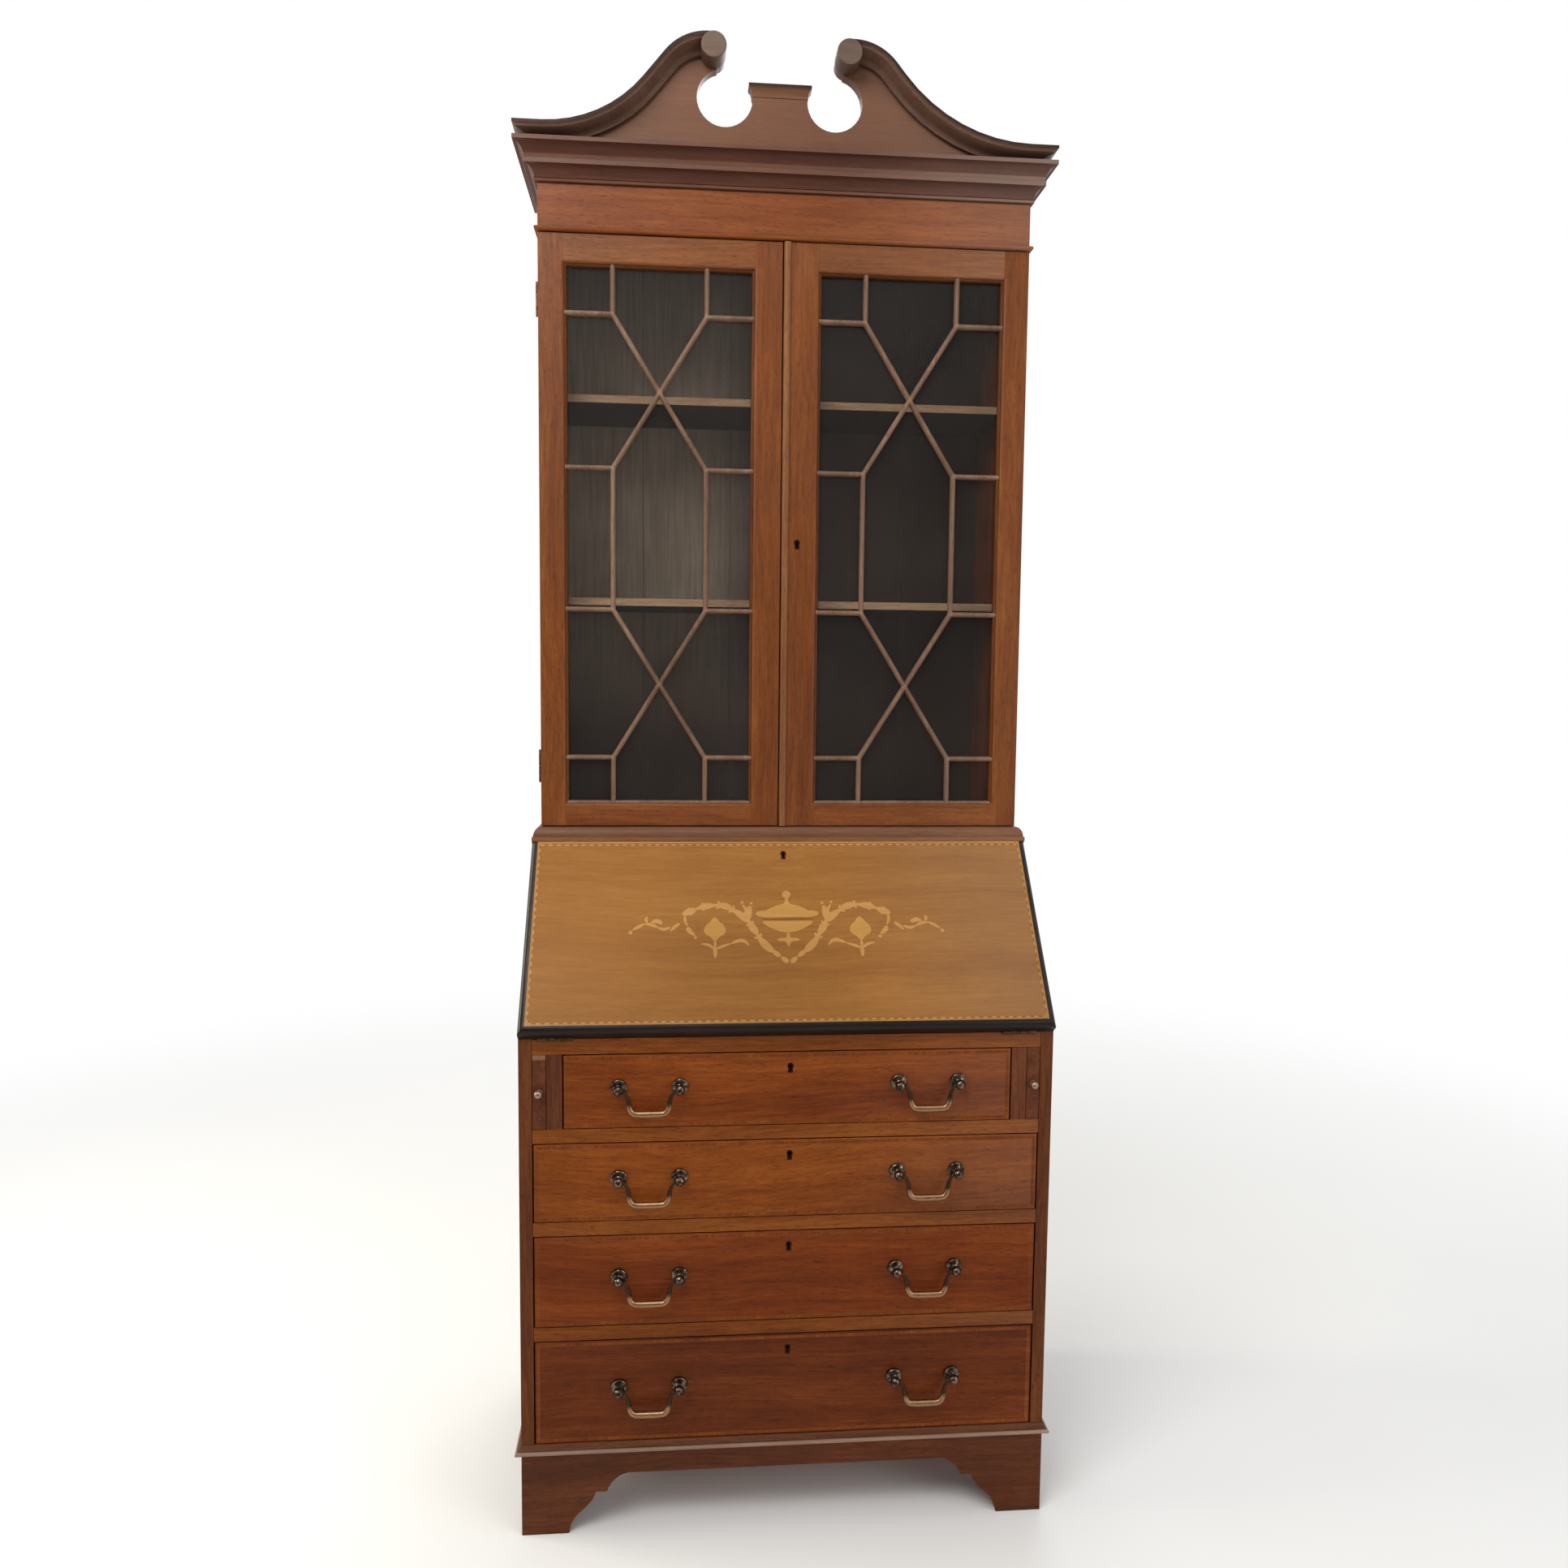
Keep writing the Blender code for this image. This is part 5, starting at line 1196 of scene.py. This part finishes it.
DOOR_THICK = 0.020
DOOR_BACK = DOOR_FRONT + DOOR_THICK
DOOR_ROUND = 0.0040
PANE_SIDE = 0.0707
PANE_END = 0.0697
PANE_MIDDLE = 0.105
BAR_HALF = 0.0037
BORDER_SHARE = 0.8
DOOR_LOCK_HALF = 0.013
LEAF_IN = 0.0072
LEAF_HALF = 0.0068
LEAF_GAP = 0.0004
LEAF_SCREWS = (0.007, 0.019)
ARCH = [math.radians(10 * i) for i in range(19)]


def make_door_frame(name):
    """Upright stiles and level rails with a rounded inner edge; the knuckles are brass."""
    shape = copied(f"door_{name}_frame")
    low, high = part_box(f"door_{name}_lattice")
    rounding = []
    for edge in shape.edges:
        middle = (edge.verts[0].co + edge.verts[1].co) / 2
        inside = low.x - MM < middle.x < high.x + MM and low.z - MM < middle.z < high.z + MM
        if inside and all(abs(v.co.y - DOOR_FRONT) < WELD for v in edge.verts):
            rounding.append(edge)
    rounded(shape, rounding, DOOR_ROUND, 6)
    ease(shape, 0.0008)
    for x in (low.x, high.x):
        split(shape, (x, 0, 0), (1, 0, 0))
    for face in shape.faces:
        middle = face.calc_center_median()
        if abs(middle.x) > CASE_HALF + WELD or middle.y > DOOR_BACK + WELD:
            face.material_index = 2
        elif low.x < middle.x < high.x:
            face.material_index = 4 if middle.z > high.z else 1
        elif middle.y < DOOR_FRONT - 0.0005:
            face.material_index = 3
    # Look 4, on the top rail, is painted paler as sheen from light above.
    looks = [DOOR["Z"], DOOR["X"], AGED, BEAD, SHEENED_TOP_RAIL]
    joinery = piece(f"door_{name}_joinery", shape, f"door_{name}", "door_mahogany", *looks)
    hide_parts(f"door_{name}_frame")


def glazing_bar(shape, start, end, half, back, depth, index=0):
    """Adds a bar with a rounded front between two points (X, Z) of a door."""
    start, end = Vector((start[0], 0, start[1])), Vector((end[0], 0, end[1]))
    across = (end - start).normalized().cross(Vector((0, 1, 0)))
    round_front = [(half * math.cos(a), depth * (0.4 + 0.6 * math.sin(a))) for a in ARCH]
    profile = [(half, 0), *round_front, (-half, 0)]
    rings = []
    for spot in (start, end):
        rings.append([shape.verts.new(spot + across * x + Vector((0, back - y, 0))) for x, y in profile])
    bridge(shape, *rings, index)
    for ring in (rings[0][::-1], rings[1]):
        shape.faces.new(ring).material_index = index


def make_lattice(name):
    """Glazing bars with rounded fronts: three tiers of panes with a cross between each two."""
    low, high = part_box(f"door_{name}_lattice")
    left, right = low.x + PANE_SIDE, high.x - PANE_SIDE
    middle = (low.z + high.z) / 2
    rows = [low.z + PANE_END, middle - PANE_MIDDLE, middle + PANE_MIDDLE, high.z - PANE_END]
    bars = []
    for foot, head in ((low.z, rows[0]), (rows[1], rows[2]), (rows[3], high.z)):
        bars += [((x, foot), (x, head)) for x in (left, right)]
    for z in rows:
        bars += [((low.x, z), (left, z)), ((right, z), (high.x, z))]
    for foot, head in (rows[:2], rows[2:]):
        bars += [((left, foot), (right, head)), ((right, foot), (left, head))]
    shape = bmesh.new()
    for start, end in bars:
        glazing_bar(shape, start, end, BAR_HALF, high.y, high.y - low.y)
    corners = oblong((low.x, low.z), (high.x, high.z))
    # The side and top border bars take the painted shade look.
    for start, end, look in zip(corners, corners[1:] + corners[:1], (0, 1, 2, 1)):
        glazing_bar(shape, start, end, BAR_HALF, high.y, (high.y - low.y) * BORDER_SHARE, look)
    looks = [BARS["Z"], SHADED_BORDER["Z"], SHADED_BORDER["X"]]
    obj = piece(f"door_{name}_bars", shape, f"door_{name}", "door_mahogany", *looks, sharp=50)
    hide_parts(f"door_{name}_lattice")


def make_doors():
    for name in SIDES:
        make_door_frame(name)
        make_lattice(name)
        pane = frame["nodes"][f"door_{name}_glass"]
        pane.data.materials.clear()
        pane.data.materials.append(GLASS)
        pane.visible_shadow = False
        for level in ("lower", "upper"):
            make_door_hinge(name, level)
    key_rim("door_key_rim", facing(DOOR_FRONT) @ at(*DOOR_KEY, 0), "door_right")
    shape = bmesh.new()
    x, z = -DOOR_KEY[0], DOOR_KEY[1]
    holes = [(x + a, z + b) for a in (-0.008, 0.008) for b in LOCK_SCREWS]
    low, high = (x - DOOR_LOCK_HALF, z - LOCK_HALF), (x + DOOR_LOCK_HALF, z + LOCK_HALF)
    plate(shape, low, high, 0.0010, behind(DOOR_BACK), holes)
    piece("door_lock", shape, "door_right", "brass", LOCK, IRON, HOLE_SHADE)


def make_door_hinge(name, level):
    """A hinge with a screwed leaf on the case and another on the back of the door."""
    node = f"door_hinge_{name}_{level}"
    dress(node, [AGED], 0.0002, slot="brass")
    low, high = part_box(node)
    middle = (low.z + high.z) / 2
    x = SIDES[name] * (CASE_HALF - LEAF_IN)
    shape = bmesh.new()
    for i, z in enumerate(HINGE_SCREWS):
        screw(shape, facing(DOOR_BACK + 0.001) @ at(x, middle + z, 0), 0, 1, 0.4 + i)
    piece(f"{node}_screws", shape, "carcase", "brass", IRON, HOLE_SHADE)
    shape = bmesh.new()
    foot, head = (-x - LEAF_HALF, middle + LEAF_GAP), (-x + LEAF_HALF, high.z)
    holes = [(-x, middle + z) for z in LEAF_SCREWS]
    plate(shape, foot, head, 0.0002, behind(DOOR_BACK), holes)
    piece(f"{node}_leaf", shape, f"door_{name}", "brass", AGED, IRON, HOLE_SHADE)


# Stage, light and camera


def make_stage():
    """A pale floor with the piece's shadow, which turns white far from it."""
    made, tree, shader, place = blank("pale_floor")
    cloud = noise(tree, place, 1.3, 2.0)
    tone = ramp(tree, cloud, (0.3, (0.90, 0.90, 0.89, 1)), (0.7, (0.93, 0.93, 0.92, 1)))
    feed(tree, shader, {"Base Color": tone, "Roughness": 0.9, "Specular IOR Level": 0.1})
    distance = add(tree, "VectorMath", {0: place}, operation="LENGTH").outputs["Value"]
    far = ranged(tree, distance, 0.9, 3.2, 0.0, 1.0)
    white = add(tree, "Emission", {"Color": WHITE, "Strength": 1.0}).outputs[0]
    share = maths(tree, "MULTIPLY", far, seen(tree))
    mix = add(tree, "MixShader", {0: share, 1: shader.outputs[0], 2: white})
    feed(tree, tree.nodes["Material Output"], {"Surface": mix.outputs[0]})
    shape = bmesh.new()
    bmesh.ops.create_circle(shape, cap_ends=True, radius=14.0, segments=96)
    floor = placed("floor", meshed("floor", shape))
    floor.data.materials.append(made)


def seen(tree):
    """1 for rays that show the background: from the camera, off metal and through glass."""
    path = add(tree, "LightPath", {}).outputs
    mirrored = maths(tree, "MAXIMUM", path["Is Glossy Ray"], path["Is Transmission Ray"])
    return maths(tree, "MAXIMUM", path["Is Camera Ray"], mirrored)


def make_world():
    world = bpy.data.worlds.new("studio")
    bpy.context.scene.world = world
    world.use_nodes = True
    tree = world.node_tree
    plain = tree.nodes["Background"]
    feed(tree, plain, {"Color": WHITE, "Strength": 0.38})
    white = add(tree, "Background", {"Color": WHITE, "Strength": 1.0})
    mix = add(tree, "MixShader", {0: seen(tree), 1: plain.outputs[0], 2: white.outputs[0]})
    feed(tree, tree.nodes["World Output"], {"Surface": mix.outputs[0]})


def make_card():
    """A soft reflector behind the camera, paler to the upper left, that only polish and glass mirror.

    Seen straight through the glass it is white like the background.
    """
    made, tree, shader, place = blank("reflector_card")
    axes = add(tree, "SeparateXYZ", {"Vector": place}).outputs
    left = ranged(tree, axes["X"], 0.0, 0.9, 1.0, 0.0)
    high = ranged(tree, axes["Z"], 0.9, 1.7, 0.15, 1.0)
    veil = maths(tree, "MULTIPLY", maths(tree, "MULTIPLY", left, high), 0.10)
    glow = maths(tree, "ADD", veil, ranged(tree, axes["Z"], 2.0, 3.2, 0.10, 0.5))
    mirrored = maths(tree, "MINIMUM", add(tree, "LightPath", {}).outputs["Glossy Depth"], 1.0)
    dimmed = maths(tree, "MULTIPLY", glow, mirrored)
    strength = maths(tree, "ADD", dimmed, maths(tree, "SUBTRACT", 1.0, mirrored))
    light = add(tree, "Emission", {"Color": (1.0, 0.99, 0.97, 1), "Strength": strength})
    feed(tree, tree.nodes["Material Output"], {"Surface": light.outputs[0]})
    tree.nodes.remove(shader)
    shape = bmesh.new()
    slab(shape, oblong((-4, 0), (4, 3.6)), 0, 0.02, facing(-3.4))
    card = placed("card", meshed("card", shape))
    card.data.materials.append(made)
    card.visible_camera = False
    card.visible_diffuse = False
    card.visible_shadow = False


def lamp(name, spot, target, size, power, tint=(1, 1, 1)):
    data = bpy.data.lights.new(name, "AREA")
    data.shape = "RECTANGLE"
    data.size, data.size_y = size
    data.energy = power
    data.color = tint
    obj = placed(name, data)
    obj.location = spot
    obj.rotation_euler = (Vector(target) - Vector(spot)).to_track_quat("-Z", "Y").to_euler()


def make_lamps():
    lamp("key", (-1.1, -1.75, 2.9), (0, 0, 1.5), (1.5, 1.1), 39, (1.0, 0.985, 0.96))
    lamp("fill", (2.2, -2.3, 1.6), (0, 0, 1.1), (1.8, 2.2), 26)
    lamp("top", (0.0, -0.7, 4.0), (0, 0, 1.6), (2.6, 2.0), 18)
    lamp("window", (-2.6, 0.2, 1.7), (-0.4, 0.1, 1.8), (1.2, 1.6), 48, (1.0, 0.96, 0.80))
    lamp("rear", (0.6, 2.6, 2.8), (0, 0, 1.1), (2.4, 1.8), 42)


def make_camera():
    """The place, turn and lens that fit the straight edges of the piece."""
    spot = (-0.1584, -1.8578, 1.2267)
    yaw, pitch, roll = 0.0874, -0.0839, 0.0102
    aim = Matrix.Rotation(-yaw, 4, "Z") @ Matrix.Rotation(math.pi / 2 + pitch, 4, "X")
    data = bpy.data.cameras.new("camera")
    data.sensor_width = 36
    data.lens = 27.514
    camera = placed("camera", data)
    camera.matrix_world = at(*spot) @ aim @ Matrix.Rotation(roll, 4, "Z")
    bpy.context.scene.camera = camera


make_carcase()
make_backs()
for number in DRAWERS:
    make_drawer(number)
make_lopers()
make_fall()
make_doors()
make_stage()
make_world()
make_card()
make_lamps()
make_camera()
bpy.context.scene.view_settings.view_transform = "Standard"
